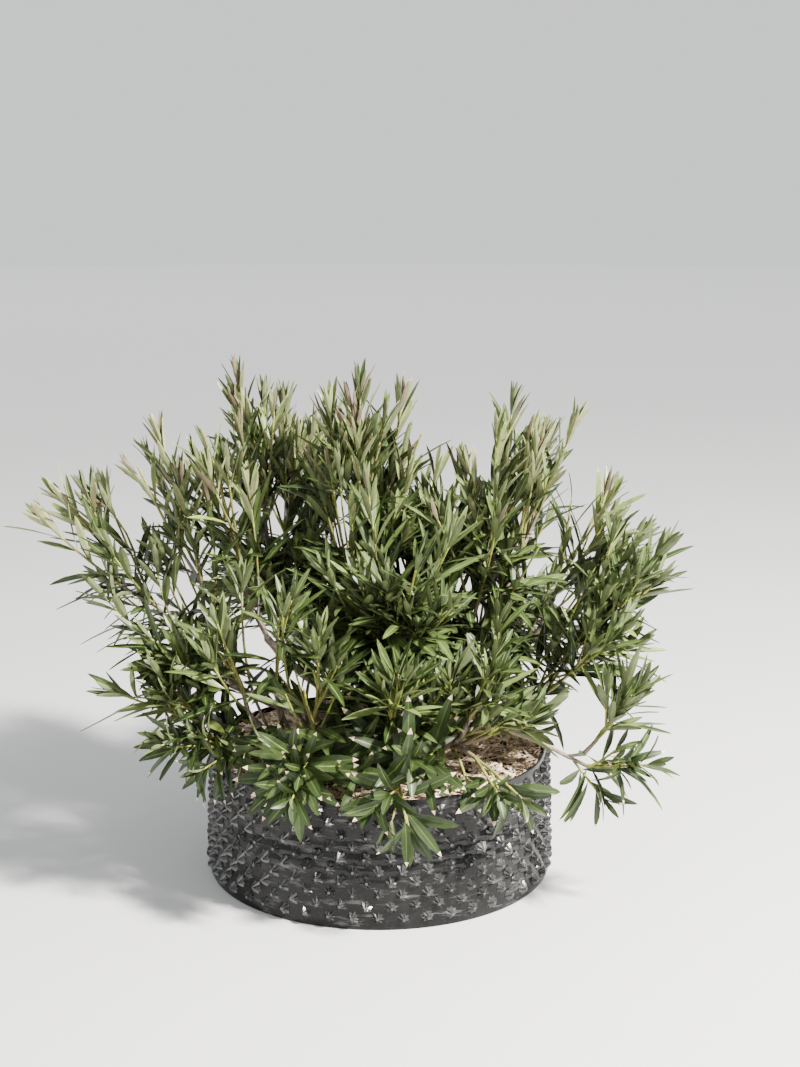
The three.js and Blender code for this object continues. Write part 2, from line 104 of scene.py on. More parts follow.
# Each bough: name, bearing, lean and length from FOOT, and its masses of foliage from its tip.
BOUGHS = (
    ("left", 192, 75, 0.285, (
        ("left_far", 168, 45, 0.568), ("left_tall", 153, 20, 0.556), ("left_front", 220, 58, 0.315))),
    ("left_rim", 212, 87, 0.260, (
        ("left_low", 195, 74, 0.335), ("left_under", 215, 92, 0.268), ("left_mid", 228, 27, 0.315))),
    ("left_inner", 184, 53, 0.275, (("left_inner_tall", 196, 16, 0.450),)),
    ("tall", 152, 50, 0.260, (("tall_left", 176, 12, 0.550), ("tall_right", 100, 13, 0.485))),
    ("back_left", 116, 60, 0.250, (
        ("top_back", 95, 15, 0.480), ("back_left_mid", 129, 46, 0.410), ("back_left_low", 141, 78, 0.350))),
    ("centre", 146, 13, 0.200, (("centre_left", 275, 5, 0.505), ("centre_right", 19, 12, 0.480))),
    ("centre_back", 69, 61, 0.220, (
        ("centre_back_left", 38, 9, 0.410), ("centre_back_far", 96, 43, 0.400))),
    ("inner_right", 38, 46, 0.185, (
        ("inner_right_tall", 30, 10, 0.410), ("inner_right_front", 273, 39, 0.290))),
    ("right_tall", 5, 51, 0.250, (
        ("right_tall_left", 357, 8, 0.490), ("right_tall_right", 15, 26, 0.492))),
    ("back_right", 44, 76, 0.295, (
        ("back_right_top", 37, 29, 0.410), ("back_right_low", 55, 77, 0.340))),
    ("right", 11, 71, 0.290, (("right_top", 16, 30, 0.450), ("right_shoulder", 22, 51, 0.415))),
    ("right_far", 352, 83, 0.275, (("right_tip", 359, 42, 0.465), ("right_side", 331, 52, 0.347))),
    ("right_arc", 332, 93, 0.410, (("arc_up", 351, 43, 0.252), ("arc_low", 333, 92, 0.215))),
    ("front_left", 239, 91, 0.225, (
        ("front_left_up", 282, 13, 0.295), ("front_left_rim", 259, 89, 0.245))),
    ("front", 276, 90, 0.210, (("front_up", 279, 31, 0.260), ("front_rim", 278, 98, 0.270))),
    ("front_right", 308, 89, 0.235, (
        ("front_right_up", 318, 28, 0.275), ("right_spray", 1, 72, 0.245),
        ("front_right_rim", 306, 95, 0.250))),
    ("front_inner", 280, 41, 0.170, (
        ("front_inner_left", 233, 26, 0.270), ("front_inner_right", 314, 50, 0.285))),
    ("back_low", 82, 85, 0.215, (("back_low_left", 115, 77, 0.345), ("back_low_right", 63, 82, 0.370))),
)
ROSETTES = ("left_under", "arc_low", "front_left_rim", "front_rim", "front_right_rim")
SLIM_BOUGHS = {"right_arc": 0.55}  # share of the usual thickness
# Boughs with more inner shoots, as the crown is full over them.
DENSE_BOUGHS = ("centre", "front_inner", "inner_right", "right_tall", "tall", "centre_back")
RIM_BOUGHS = ("front_left", "front", "front_right")  # which lie low over the front of the rim

# ---- What the looks add to that rule ---------------------------------------------------------------

LEAF_STEPS = (0.0, 0.07, 0.24, 0.48, 0.72, 0.91, 1.0)  # shares of a leaf's length
LEAF_FULLNESS = (0.0, 0.18, 0.66, 1.0, 0.87, 0.41, 0.0)  # and its width there
RIB = 0.10  # half the midrib's width, as a share of half the leaf's
LEAF_THICKNESS = 0.0009
TUFT_OPEN = (7, 13, 19, 25, 31, 37, 43, 48, 52)  # degrees from the shoot, whorl by whorl from its tip
TUFT_LENGTH = (0.53, 0.68, 0.84, 0.95, 1.0, 1.0, 1.0, 0.98, 0.95)
TUFT_WIDTH = (0.60, 0.72, 0.83, 0.93, 1.0, 1.0, 1.0, 1.0, 1.0)
SPREAD_OPEN = (12, 26, 39, 50, 58, 64, 68, 71, 73)  # on a low shoot, which the crown shades
SPREAD_LENGTH = (0.50, 0.72, 0.90, 1.0, 1.0, 1.0, 1.0, 0.98, 0.95)
ROSETTE_OPEN = (20, 38, 52, 64, 74, 82, 88, 92, 94)
ROSETTE_LENGTH = (0.46, 0.68, 0.84, 0.96, 1.0, 1.0, 1.0, 1.0, 0.95)
FIRST_GAP, GAP_GROWTH = 0.0115, 1.45  # between the whorls of a tuft, from its tip
RIM_FIRST_GAP, RIM_GAP_GROWTH = 0.013, 1.28  # and on a shoot over the rim
LEAVES_PER_WHORL = 3
WHORL_TURN = 60  # degrees from one whorl to the next
STEM_AGE = 6  # how many whorls older than a leader's the first of a stem is
LEAF_LOSS = {"after": 8, "each": 0.05, "most": 0.42}  # the chance that a leaf has dropped, by its age
LEAF_STRAY = {"whorl": 8, "open": 6, "turn": 9, "twist": 16, "curl": 6, "size": 0.09}  # degrees, or a share
LEAF_VIGOUR, LEAF_BREADTH, LEAF_FOLD = (0.88, 1.08), (0.88, 1.10), (0.14, 0.36)
LEAF_CURL = {"usual": 3, "rosette": 22, "each": 2.2, "until": 8}  # degrees, more with age
LEAF_SINKS = 0.02  # how far it droops for each whorl of age, until its curl ends too
TO_LIGHT = {"rosette": 0.55, "low": 0.40, "each": 0.06, "until": 7}  # how strongly upper sides face up
EXTENDED = 0.058  # how far a straight leader grows on, as its tuft is shorter than a solid's
SPREAD_EXTENDED = 0.024  # and one that spreads
RIM_EXTENDED, RIM_DROOP = 0.064, 0.028  # and one that reaches over the rim, and how far that sinks
SIDE = {  # a finer twig: degrees round its stem from the last, degrees off it, and its length
    "turn": 137.5,
    "turn_stray": 20,
    "lean": (22, 38),
    "length": (0.42, 0.84),  # as a share of what is left of the mass's reach
    "shortest": 0.045,
    "longest": 0.260,
    "lowest_tip": 0.06,
}
BEND_AT = 0.45  # how far along a finer or an inner shoot its line bends
SPREADING_BELOW, ERECT_ABOVE = 0.58, 0.80  # heights of a shoot's tip
LOW_BROADER = 1.24  # how much broader the leaves of a low shoot are
SHOOT_EVERY = (0.056, 0.078)  # along the stem of a low mass and of a high one
# How far from its mass's line a finer twig may end, low in the mass and at its top.
SIDE_STRAY = (0.120, 0.056)
SIDE_RADII, INNER_RADII, RIM_RADII = (0.0026, 0.0014), (0.0034, 0.0017), (0.0030, 0.0016)
# How much of a shoot has no leaves, from its root.
BARE_SHARES = {"stem": 0.20, "leader": 0.03, "side": 0.14, "inner": 0.20}
BARE_BOUGHS = ("left", "left_inner")  # whose front side shows
BARE_GAP = 0.024  # how far from such a limb's line its leaves keep, seen from the front
EYE = np.array([0.04, -3.6, 1.484])  # where the camera stands, from which the crown is looked through
CAMERA_DOWN = 12.8  # degrees by which it looks down
TO_FRONT = np.array([0.0, -0.975, 0.222])  # the way from a leaf to it
CLEAR_OF_LEAVES = 0.70  # the share of a clearing that leaves keep out of
UPTURN = (0.35, 1.9)  # how strongly the end of a straight leader turns up, and of one that spreads

# Clearings where sky or mulch shows through the crown from EYE, laid out to the centimetre on the plane
# y = 0: how far across and how high their middles are, and half their width and height.
CLEARINGS = {
    "between left_far and left_tall": (-0.48, 0.71, 0.03, 0.09),
    "under left_far": (-0.64, 0.61, 0.07, 0.04),
    "between left_tall and tall": (-0.33, 0.92, 0.04, 0.07),
    "among the left limbs": (-0.25, 0.45, 0.03, 0.03),
    "right of centre": (0.10, 0.88, 0.04, 0.06),
    "left of right_tall": (0.20, 0.85, 0.02, 0.08),
    "between right_tall and right": (0.39, 0.80, 0.03, 0.10),
    "between right_far and arc_up": (0.56, 0.51, 0.06, 0.05),
    "between the rim and arc_low": (0.40, 0.29, 0.06, 0.08),
    "over the mulch": (0.21, 0.22, 0.11, 0.06),
}
SMALL_CLEARINGS = {  # strewn by chance over the middle of the crown, ranges in the same order
    "seed": 3,
    "count": 18,
    "low": (-0.45, 0.47, 0.012, 0.018),
    "high": (0.43, 0.80, 0.020, 0.036),
}
GROWING_ON = {  # how far the straight leader of some masses grows on, and those that spread
    "left_far": (0.040, 0.058), "left_tall": (0.062, 0.060), "left_low": (0.070, 0.060),
    "left_inner_tall": (0.070, 0.050), "tall_left": (0.066, 0.030), "centre_right": (0.066, 0.030),
    "right_tall_left": (0.080, 0.040), "right_tall_right": (0.075, 0.060), "right_top": (0.050, 0.050),
    "right_tip": (0.062, 0.050), "arc_up": (0.050, 0.020),
}
LEGGY_LEFT = 0.04  # a further bare share of the stems on the left
INNER_COUNTS = {"low": 5, "bare": 3, "dense": 12, "usual": 7}  # inner shoots of a bough, by its kind
INNER_LONGEST = {"low": 0.19, "usual": 0.34}
INNER_BEARINGS = {"bare": (20, 160), "front": (200, 340), "any": (0, 360)}  # towards which they lean out
NO_INNER_PAST, NO_INNER_UNDER = 0.42, 0.36  # out from the axis and in height: the room beside the pot
RIM_SHOOT_BEARINGS = (-58, -28, 22, 52)  # of the shoots beside a rosette, from its bough's bearing
RIM_SHOOT_LENGTH = (0.12, 0.19)
RIM_SHOOT_SINKING = 0.16  # share of its length by which such a shoot's tip sinks

FLOOR_RADIUS, FLOOR_DROP = 14.0, 0.0005

GROUPS = ("left", "right", "front", "back", "centre")


def heading(bearing, lean):
    """The unit direction at a bearing anticlockwise from +X and a lean from straight up."""
    b, l = math.radians(bearing), math.radians(lean)
    return np.array([math.sin(l) * math.cos(b), math.sin(l) * math.sin(b), math.cos(l)])


def unit(vector):
    """A vector made 1 long, or left alone where it has no length."""
    return vector / (np.linalg.norm(vector) or 1.0)


def lerp(low, high, share):
    return low + (high - low) * share


def turned(first, second, angle):
    """A pair of coordinates turned by an angle in radians."""
    return first * np.cos(angle) - second * np.sin(angle), first * np.sin(angle) + second * np.cos(angle)


def tilted(axis, angle, turn):
    """A direction tilted away from the axis by an angle, on the side that turn picks out."""
    side = UP if abs(axis[2]) < 0.9 else np.array([1.0, 0.0, 0.0])
    u = unit(np.cross(side, axis))
    v = np.cross(axis, u)
    radial = u * math.cos(math.radians(turn)) + v * math.sin(math.radians(turn))
    return axis * math.cos(math.radians(angle)) + radial * math.sin(math.radians(angle))


def seeded_random(seed):
    """The solids' own source of numbers from 0 to 1, so that stems and leaders fork as theirs do."""
    whole = 0xFFFFFFFF
    state = seed & whole

    def draw():
        nonlocal state
        state = (state + 0x6D2B79F5) & whole
        t = ((state ^ (state >> 15)) * (state | 1)) & whole
        t ^= (t + (((t ^ (t >> 7)) * (t | 61)) & whole)) & whole
        return (t ^ (t >> 14)) / 4294967296

    return draw


class Curve:
    """A limb's line: from its start to its tip, drawn towards a third point."""

    def __init__(self, start, bend, tip):
        self.ends = (start, bend, tip)
        self.shares = np.linspace(0, 1, 65)
        points = self.at(self.shares)
        steps = np.linalg.norm(np.diff(points, axis=0), axis=1)
        self.run = np.concatenate([[0.0], np.cumsum(steps)])
        self.length = self.run[-1]

    def at(self, share):
        t = np.asarray(share, float)[..., None]
        start, bend, tip = self.ends
        return (1 - t) ** 2 * start + 2 * (1 - t) * t * bend + t * t * tip

    def tangent(self, share):
        t = np.asarray(share, float)[..., None]
        start, bend, tip = self.ends
        way = 2 * (1 - t) * (bend - start) + 2 * t * (tip - bend)
        return way / np.linalg.norm(way, axis=-1, keepdims=True)

    def share_at(self, distance):
        """The share of the curve at which this distance has been run from its start."""
        return np.interp(distance, self.run, self.shares)


class Mass:
    """One mass of foliage: where it starts, where it points and how far it reaches."""

    def __init__(self, name, bough, top, length):
        self.name = name
        self.bough = bough
        self.top = top
        self.length = length
        self.rosette = name in ROSETTES
        self.over_rim = self.rosette and self.group() == "front"
        self.reach = length - LEAF_REACH * SOLID_LEAF

    def group(self):
        first = self.name.split("_")[0]
        if first in ("left", "tall"):
            return "left"
        return {"right": "right", "arc": "right", "front": "front", "back": "back"}.get(first, "centre")


class Bough:
    """One main limb, which sags below its chord, so that it leaves the foot leaning out and rises."""

    def __init__(self, name, bearing, lean, length, masses):
        chord, out = heading(bearing, lean), heading(bearing, 90)
        sagging = unit(out - chord * out.dot(chord))
        start = FOOT + chord * (STUMP["neck"] - LIMB["sunk"])
        tip = FOOT + chord * length
        bend = (start + tip) / 2 + sagging * (LIMB["sag"] * length * 2)
        self.name = name
        self.chord = chord
        self.curve = Curve(start, bend, tip)
        self.end = self.curve.tangent(1.0)
        self.thickness = SLIM_BOUGHS.get(name, 1.0)
        self.masses = self.lay(tip, masses)

    def lay(self, tip, rows):
        """The masses, their stems evenly round the bough's end in the order in which their tops lie."""
        laid = [Mass(name, self, tip + heading(b, l) * length, length) for name, b, l, length in rows]
        middle = sum(mass.top for mass in laid) / len(laid)
        first = laid[0].top - middle
        first = first - self.end * first.dot(self.end)
        first = first / max(np.linalg.norm(first), 1e-12)
        second = np.cross(self.end, first)

        def turn_of(mass):
            apart = mass.top - middle
            turn = math.atan2(apart.dot(second), apart.dot(first))
            return turn + 2 * math.pi if turn < -1e-6 else turn

        laid.sort(key=turn_of)
        from_middle = (STEM_RADIUS + CLEARANCE) / math.sin(math.pi / len(laid)) if len(laid) > 1 else 0
        for i, mass in enumerate(laid):
            turn = 2 * math.pi * i / len(laid)
            round_end = first * math.cos(turn) + second * math.sin(turn)
            mass.start = tip + self.end * CLEARANCE + round_end * from_middle
            mass.axis = unit(mass.top - mass.start)
        return laid


class Shoot:
    """A twig: the mass it grows in, its line, its radii at both ends, its kind and its whorls."""

    def __init__(self, mass, curve, radii, kind):
        self.mass = mass
        self.curve = curve
        self.radii = radii
        self.kind = kind
        self.whorls = []


def distance_to_lines(points, starts, tops):
    """How far each point lies from each line: one row a point, one column a line."""
    way = tops - starts
    share = np.einsum("pli,li->pl", points[:, None] - starts[None], way) / np.einsum("li,li->l", way, way)
    nearest = starts[None] + np.clip(share, 0, 1)[..., None] * way[None]
    return np.linalg.norm(points[:, None] - nearest, axis=-1)


def in_own_space(masses, index, points, margin):
    """Whether the points lie nearer to this mass's line than to any other's."""
    starts, tops = np.array([m.start for m in masses]), np.array([m.top for m in masses])
    far = distance_to_lines(points, starts, tops)
    own = far[:, index].copy()
    far[:, index] = np.inf
    return bool((far.min(1) > own + 2 * margin).all())


def clear_of_limbs(points, limb_points, margin):
    """Whether the points stay off the boughs, the pot and the mulch."""
    near = np.linalg.norm(points[:, None] - limb_points[None], axis=-1).min(1)
    if (near < LIMB["foot"] + margin).any():
        return False
    out = np.hypot(points[:, 0], points[:, 1])
    over_wall = out > POT["rim"] - POT["near_rim"]
    low = np.where(over_wall, POT["height"], MULCH["middle"] + MULCH["lump"]) + margin
    inside = (out < POT["foot"] + POT["nub"] + margin) & (points[:, 2] < low)
    return not inside.any() and bool((points[:, 2] > margin).all())


def erectness(height):
    """From 0 low in the crown, where shoots spread their leaves, to 1 at its top, where they are erect."""
    return float(np.clip((height - SPREADING_BELOW) / (ERECT_ABOVE - SPREADING_BELOW), 0, 1))


def stem_and_leaders(masses, index, limb_points):
    """The stem and the leaders of a mass, which fork as those of the solids do.

    The first leader runs straight on, and the others spread.
    """
    mass = masses[index]
    random = seeded_random(mass.seed)
    stem_length = mass.reach * FORK["share"]
    fork = mass.start + mass.axis * stem_length
    bend = mass.start + mass.bough.end * (stem_length * 0.35)
    stem = Curve(mass.start, bend, fork)
    leaving = stem.tangent(1.0)
    leaders = []
    count = 2 if mass.length < FORK["three_from"] else 3
    phase = random() * 360
    for i in range(count):
        start = fork - leaving * (LEADER_RADIUS + i * FORK["stagger"])
        spreads = i > 0
        for k in range(FORK["tries"]):
            spread = FORK["spread"] * (1 - k / FORK["tries"]) if spreads else 0
            turn = phase + i * 360 / count + (random() * 2 - 1) * 25
            share = lerp(FORK["shortest"], FORK["longest"], random())
            length = (mass.reach - stem_length) * (share if spreads else 1)
            tip = fork + tilted(mass.axis, spread, turn) * length
            if spreads:
                tip[2] += FORK["lift"] * length
            line = Curve(start, (start + tip) / 2 - mass.axis * (0.06 * length), tip)
            points = line.at([0.25, 0.5, 0.75, 1.0])
            if in_own_space(masses, index, points, LEADER_RADIUS) and clear_of_limbs(
                points, limb_points, LEADER_RADIUS
            ):
                leaders.append(line)
                break
    return stem, leaders


def grown_on(curve, further, upturn=0.0, sinking=0.0):
    """A curve carried further along its end, where it may turn up or sink."""
    start, bend, tip = curve.ends
    onward = unit(curve.tangent(1.0) + UP * upturn)
    return Curve(start, bend, tip + onward * further - UP * sinking)


@functools.lru_cache(maxsize=1)
def clearings():
    """The named clearings and the small ones, one row each."""
    rng = np.random.default_rng(SMALL_CLEARINGS["seed"])
    small = rng.uniform(SMALL_CLEARINGS["low"], SMALL_CLEARINGS["high"], (SMALL_CLEARINGS["count"], 4))
    return [*CLEARINGS.values(), *small]


def in_clearing(points, size=1.0):
    """Which points are seen within a clearing, or within a share of one."""
    share = -EYE[1] / (points[..., 1] - EYE[1])
    across = EYE[0] + (points[..., 0] - EYE[0]) * share
    height = EYE[2] + (points[..., 2] - EYE[2]) * share
    within = np.zeros(points.shape[:-1], bool)
    for x, z, wide, high in clearings():
        within |= ((across - x) / wide) ** 2 + ((height - z) / high) ** 2 < size**2
    return within


def side_shoots(mass, parent, shares, rng, lift):
    """Finer twigs from a stem or leader, within the reach of their mass."""
    shoots = []
    turn = rng.uniform(0, 360)
    for share in shares:
        t = parent.share_at(parent.length * (share + rng.uniform(-0.04, 0.04)))
        start, axis = parent.at(t), parent.tangent(t)
        turn += SIDE["turn"] + rng.uniform(-SIDE["turn_stray"], SIDE["turn_stray"])
        left = mass.reach + EXTENDED - (start - mass.start).dot(mass.axis)
        length = float(np.clip(left * rng.uniform(*SIDE["length"]), SIDE["shortest"], SIDE["longest"]))
        direction = tilted(axis, rng.uniform(*SIDE["lean"]), turn)
        tip = start + direction * length
        tip[2] += lift * length
        aside = tip - mass.start
        aside = aside - mass.axis * aside.dot(mass.axis)
        stray = np.linalg.norm(aside)
        risen = np.clip((tip - mass.start).dot(mass.axis) / mass.reach, 0, 1)
        most = lerp(*SIDE_STRAY, risen)
        if stray > most:
            tip = tip - aside * (1 - most / stray)
        if tip[2] < SIDE["lowest_tip"]:
            continue
        bend = start + direction * (BEND_AT * length)
        shoots.append(Shoot(mass, Curve(start, bend, tip), SIDE_RADII, "side"))
    return shoots


def inner_shoots(bough, rng):
    """Leafy shoots that rise from a bough itself and fill the crown within its masses."""
    shoots = []
    mass = max(bough.masses, key=lambda m: m.axis[2])
    if bough.name in SLIM_BOUGHS:
        return shoots
    low, bare = bough.name in RIM_BOUGHS, bough.name in BARE_BOUGHS
    kind = "low" if low else "bare" if bare else "dense" if bough.name in DENSE_BOUGHS else "usual"
    longest = INNER_LONGEST["low" if low else "usual"]
    for number, share in enumerate(np.linspace(0.36, 0.96, INNER_COUNTS[kind])):
        t = bough.curve.share_at(bough.curve.length * (share + rng.uniform(-0.05, 0.05)))
        start = bough.curve.at(t)
        around = INNER_BEARINGS["bare" if bare else "front" if number % 2 else "any"]
        out = heading(rng.uniform(*around), 90)
        rise = rng.uniform(0.35, 0.85) if low else 0.85
        direction = unit(UP * rise + bough.chord * 0.30 + out * rng.uniform(0.20, 0.65))
        length = longest * rng.uniform(0.45, 1.0)
        tip = start + direction * length + UP * (0.10 * length)
        bend = start + unit(direction + bough.chord * 0.4) * (BEND_AT * length)
        if np.hypot(tip[0], tip[1]) > NO_INNER_PAST and tip[2] < NO_INNER_UNDER:
            continue
        shoots.append(Shoot(mass, Curve(start, bend, tip), INNER_RADII, "inner"))
    return shoots


def rim_shoots(bough, rng):
    """Leafy shoots that lie out over the rim beside a bough's own rosette of leaves."""
    shoots = []
    for mass in bough.masses:
        if not mass.over_rim:
            continue
        bearing = math.degrees(math.atan2(bough.chord[1], bough.chord[0]))
        for aside in RIM_SHOOT_BEARINGS:
            t = bough.curve.share_at(bough.curve.length * rng.uniform(0.55, 0.95))
            start = bough.curve.at(t)
            out = heading(bearing + aside + rng.uniform(-8, 8), 90)
            direction = unit(out + UP * rng.uniform(0.0, 0.3))
            length = rng.uniform(*RIM_SHOOT_LENGTH)
            tip = start + direction * length - UP * (RIM_SHOOT_SINKING * length)
            bend = start + direction * (0.5 * length) + UP * (0.10 * length)
            shoots.append(Shoot(mass, Curve(start, bend, tip), RIM_RADII, "side"))
    return shoots


@functools.lru_cache(maxsize=1)
def grown_shrub():
    """The boughs, and the shoots that grow on from them, from coarse to fine."""
    boughs = [Bough(*row) for row in BOUGHS]
    masses = [mass for bough in boughs for mass in bough.masses]
    for i, mass in enumerate(masses):
        mass.seed = SEED + i
    sixteenths = np.linspace(0, 1, 17)
    limb_points = np.concatenate(
        [b.curve.at(b.curve.share_at(sixteenths * b.curve.length)) for b in boughs]
    )
    shoots = []
    for i, mass in enumerate(masses):
        rng = np.random.default_rng(mass.seed)
        stem, leaders = stem_and_leaders(masses, i, limb_points)
        sunk_start = mass.bough.curve.ends[2] - mass.bough.end * 0.012
        stem = Curve(sunk_start, stem.ends[1], stem.ends[2])
        shoots.append(Shoot(mass, stem, (0.0052 * max(mass.bough.thickness, 0.7), 0.0036), "stem"))
        for number, line in enumerate(leaders):
            if mass.over_rim:
                line = grown_on(line, RIM_EXTENDED, sinking=RIM_DROOP)
            else:
                further = GROWING_ON.get(mass.name, (EXTENDED, SPREAD_EXTENDED))
                line = grown_on(line, further[min(number, 1)], UPTURN[min(number, 1)])
            shoots.append(Shoot(mass, line, (0.0033, 0.0017), "leader"))
            shoots += side_shoots(mass, line, (0.32,), rng, 0.02 if mass.rosette else 0.14)
        every = lerp(*SHOOT_EVERY, erectness(mass.top[2]))
        count = 1 + int(stem.length / every)
        lift = 0.02 if mass.rosette else 0.16
        shoots += side_shoots(mass, stem, np.linspace(0.26, 0.88, count), rng, lift)
    for number, bough in enumerate(boughs):
        shoots += inner_shoots(bough, np.random.default_rng(600 + number))
        shoots += rim_shoots(bough, np.random.default_rng(800 + number))
    firm = ("stem", "leader")
    shoots = [s for s in shoots if s.kind in firm or not in_clearing(s.curve.ends[2])]
    return boughs, masses, shoots


# ---- Leaves ----------------------------------------------------------------------------------------


class Template:
    """A small closed mesh as arrays, to be copied many times: points, faces, and each face's part."""

    def __init__(self, bm, part_of):
        bm.verts.index_update()
        bmesh.ops.recalc_face_normals(bm, faces=bm.faces[:])
        self.points = np.array([v.co[:] for v in bm.verts])
        self.loops = np.array([v.index for f in bm.faces for v in f.verts])
        self.totals = np.array([len(f.verts) for f in bm.faces])
        self.parts = np.array([part_of(f) for f in bm.faces])
        bm.free()


@functools.lru_cache(maxsize=1)
def leaf_template():
    """A lance-shaped blade 1 long and 2 across, its two sides joined at the edge.

    Its parts are 0 upper side, 1 midrib, 2 underside, 3 midrib below and 4 the last of the tip.
    """
    steps = len(LEAF_STEPS) - 1
    bm = bmesh.new()
    layer = bm.faces.layers.int.new("below")
    bmesh.ops.create_grid(bm, x_segments=steps, y_segments=3, size=0.5)
    for v in bm.verts:
        step = round((v.co.x + 0.5) * steps)
        strip = round((v.co.y + 0.5) * 3)
        across = (-1, -RIB, RIB, 1)[strip]
        v.co = (LEAF_STEPS[step], across * LEAF_FULLNESS[step], 0.0)
    copy = bmesh.ops.duplicate(bm, geom=bm.faces[:] + bm.edges[:] + bm.verts[:])
    under = [g for g in copy["geom"] if isinstance(g, bmesh.types.BMFace)]
    bmesh.ops.reverse_faces(bm, faces=under)
    for v in {v for f in under for v in f.verts}:
        step = min(range(steps + 1), key=lambda i: abs(LEAF_STEPS[i] - v.co.x))
        if abs(v.co.y) < 0.5 * LEAF_FULLNESS[step]:
            v.co.z = -1.0
    for f in under:
        f[layer] = 1
    bmesh.ops.remove_doubles(bm, verts=bm.verts[:], dist=1e-4)

    def part_of(face):
        middle = face.calc_center_median()
        if middle.x > LEAF_STEPS[-2]:
            return 4
        is_rib = abs(middle.y) < 0.02
        return (2 if face[layer] else 0) + (1 if is_rib else 0)

    return Template(bm, part_of)


def bent_leaves(shape, leaves):
    """Every leaf's points: the blade folded along its rib, twisted, bent down and put in place."""
    x, y, z = shape.points.T
    length, width = leaves["length"][:, None], leaves["width"][:, None]
    across = y[None] * width / 2
    lift = np.abs(across) * leaves["fold"][:, None] + z[None] * LEAF_THICKNESS
    twist = leaves["twist"][:, None] * x[None]
    across, lift = turned(across, lift, twist)
    angle = leaves["curl"][:, None] * x[None] + 1e-5
    run = x[None] * length
    ahead = run * np.sin(angle) / angle + lift * np.sin(angle)
    rise = -run * (1 - np.cos(angle)) / angle + lift * np.cos(angle)
    return (
        leaves["root"][:, None]
        + leaves["along"][:, None] * ahead[..., None]
        + leaves["across"][:, None] * across[..., None]
        + leaves["upper"][:, None] * rise[..., None]
    )


def whorl_distances(shoot, sizes, rng):
    """Distances back from a shoot's tip to its whorls, close in its tuft and wider down it."""
    distances = []
    down = 0.020 if shoot.kind == "stem" else 0.001
    first, growth = (RIM_FIRST_GAP, RIM_GAP_GROWTH) if shoot.mass.rosette else (FIRST_GAP, GAP_GROWTH)
    gap = sizes.internode if shoot.kind == "stem" else first
    bare = BARE_SHARES[shoot.kind]
    if shoot.kind == "stem" and shoot.mass.group() == "left":
        bare += LEGGY_LEFT
    while down < shoot.curve.length * (1 - bare):
        distances.append(down)
        gap = min(gap * growth, sizes.internode)
        down += gap * rng.uniform(0.85, 1.15)
    return distances


def leaves_of(shoot, sizes, rng):
    """One dictionary a leaf: where it is rooted, how it lies, its size and its kind."""
    rosette, over_rim = shoot.mass.rosette, shoot.mass.over_rim
    erect = erectness(shoot.curve.ends[2][2])
    opens, lengths = ROSETTE_OPEN, ROSETTE_LENGTH
    if not rosette:
        opens = [lerp(low, high, erect) for low, high in zip(SPREAD_OPEN, TUFT_OPEN)]
        lengths = [lerp(low, high, erect) for low, high in zip(SPREAD_LENGTH, TUFT_LENGTH)]
    found = []
    phase = rng.uniform(0, 360 / LEAVES_PER_WHORL)
    vigour = rng.uniform(*LEAF_VIGOUR)
    for order, down in enumerate(shoot.whorls):
        age = order + (STEM_AGE if shoot.kind == "stem" else 0)
        drooping = min(age, LEAF_CURL["until"])
        i = min(age, len(opens) - 1)
        t = shoot.curve.share_at(shoot.curve.length - down)
        at, axis = shoot.curve.at(t), shoot.curve.tangent(t)
        phase += WHORL_TURN + rng.uniform(-LEAF_STRAY["whorl"], LEAF_STRAY["whorl"])
        lost = min(LEAF_LOSS["most"], LEAF_LOSS["each"] * max(0, age - LEAF_LOSS["after"]))
        for k in range(LEAVES_PER_WHORL):
            if rng.uniform() < lost:
                continue
            open_by = opens[i] + rng.normal(0, LEAF_STRAY["open"])
            turn = phase + 360 / LEAVES_PER_WHORL * k + rng.normal(0, LEAF_STRAY["turn"])
            direction = tilted(axis, max(4, open_by), turn)
            direction = unit(direction - UP * (LEAF_SINKS * drooping))
            across = unit(np.cross(axis, direction))
            upper = np.cross(direction, across)
            to_light = UP - direction * direction[2]
            erect_share = TO_LIGHT["each"] * min(age, TO_LIGHT["until"])
            share = TO_LIGHT["rosette"] if rosette else lerp(TO_LIGHT["low"], erect_share, erect)
            upper = unit(upper + to_light * share)
            across = np.cross(upper, direction)
            size = vigour * rng.normal(1.0, LEAF_STRAY["size"])
            broad = sizes.rim_width if over_rim else sizes.width * lerp(LOW_BROADER, 1, erect)
            long = sizes.rim_length if over_rim else sizes.length
            curl = LEAF_CURL["rosette"] if rosette else LEAF_CURL["each"] * drooping
            found.append({
                "root": at + direction * (0.3 * shoot.radii[1]),
                "along": direction,
                "across": across,
                "upper": upper,
                "length": long * lengths[i] * size,
                "width": broad * TUFT_WIDTH[i] * size**0.5 * rng.uniform(*LEAF_BREADTH),
                "curl": math.radians(rng.normal(LEAF_CURL["usual"], LEAF_STRAY["curl"]) + curl),
                "fold": rng.uniform(*LEAF_FOLD),
                "twist": math.radians(rng.normal(0, LEAF_STRAY["twist"])),
                "age": age,
                "erect": erect,
                "inner": shoot.kind == "inner",
            })
    return found


# ---- Meshes from arrays ----------------------------------------------------------------------------


def linked(name, mesh, crease=None):
    """An object in the scene, shaded smooth where its faces meet at less than the crease."""
    if crease is not None:
        mesh.shade_smooth()
        mesh.set_sharp_from_angle(angle=math.radians(crease))
    piece = bpy.data.objects.new(name, mesh)
    bpy.context.scene.collection.objects.link(piece)
    return piece


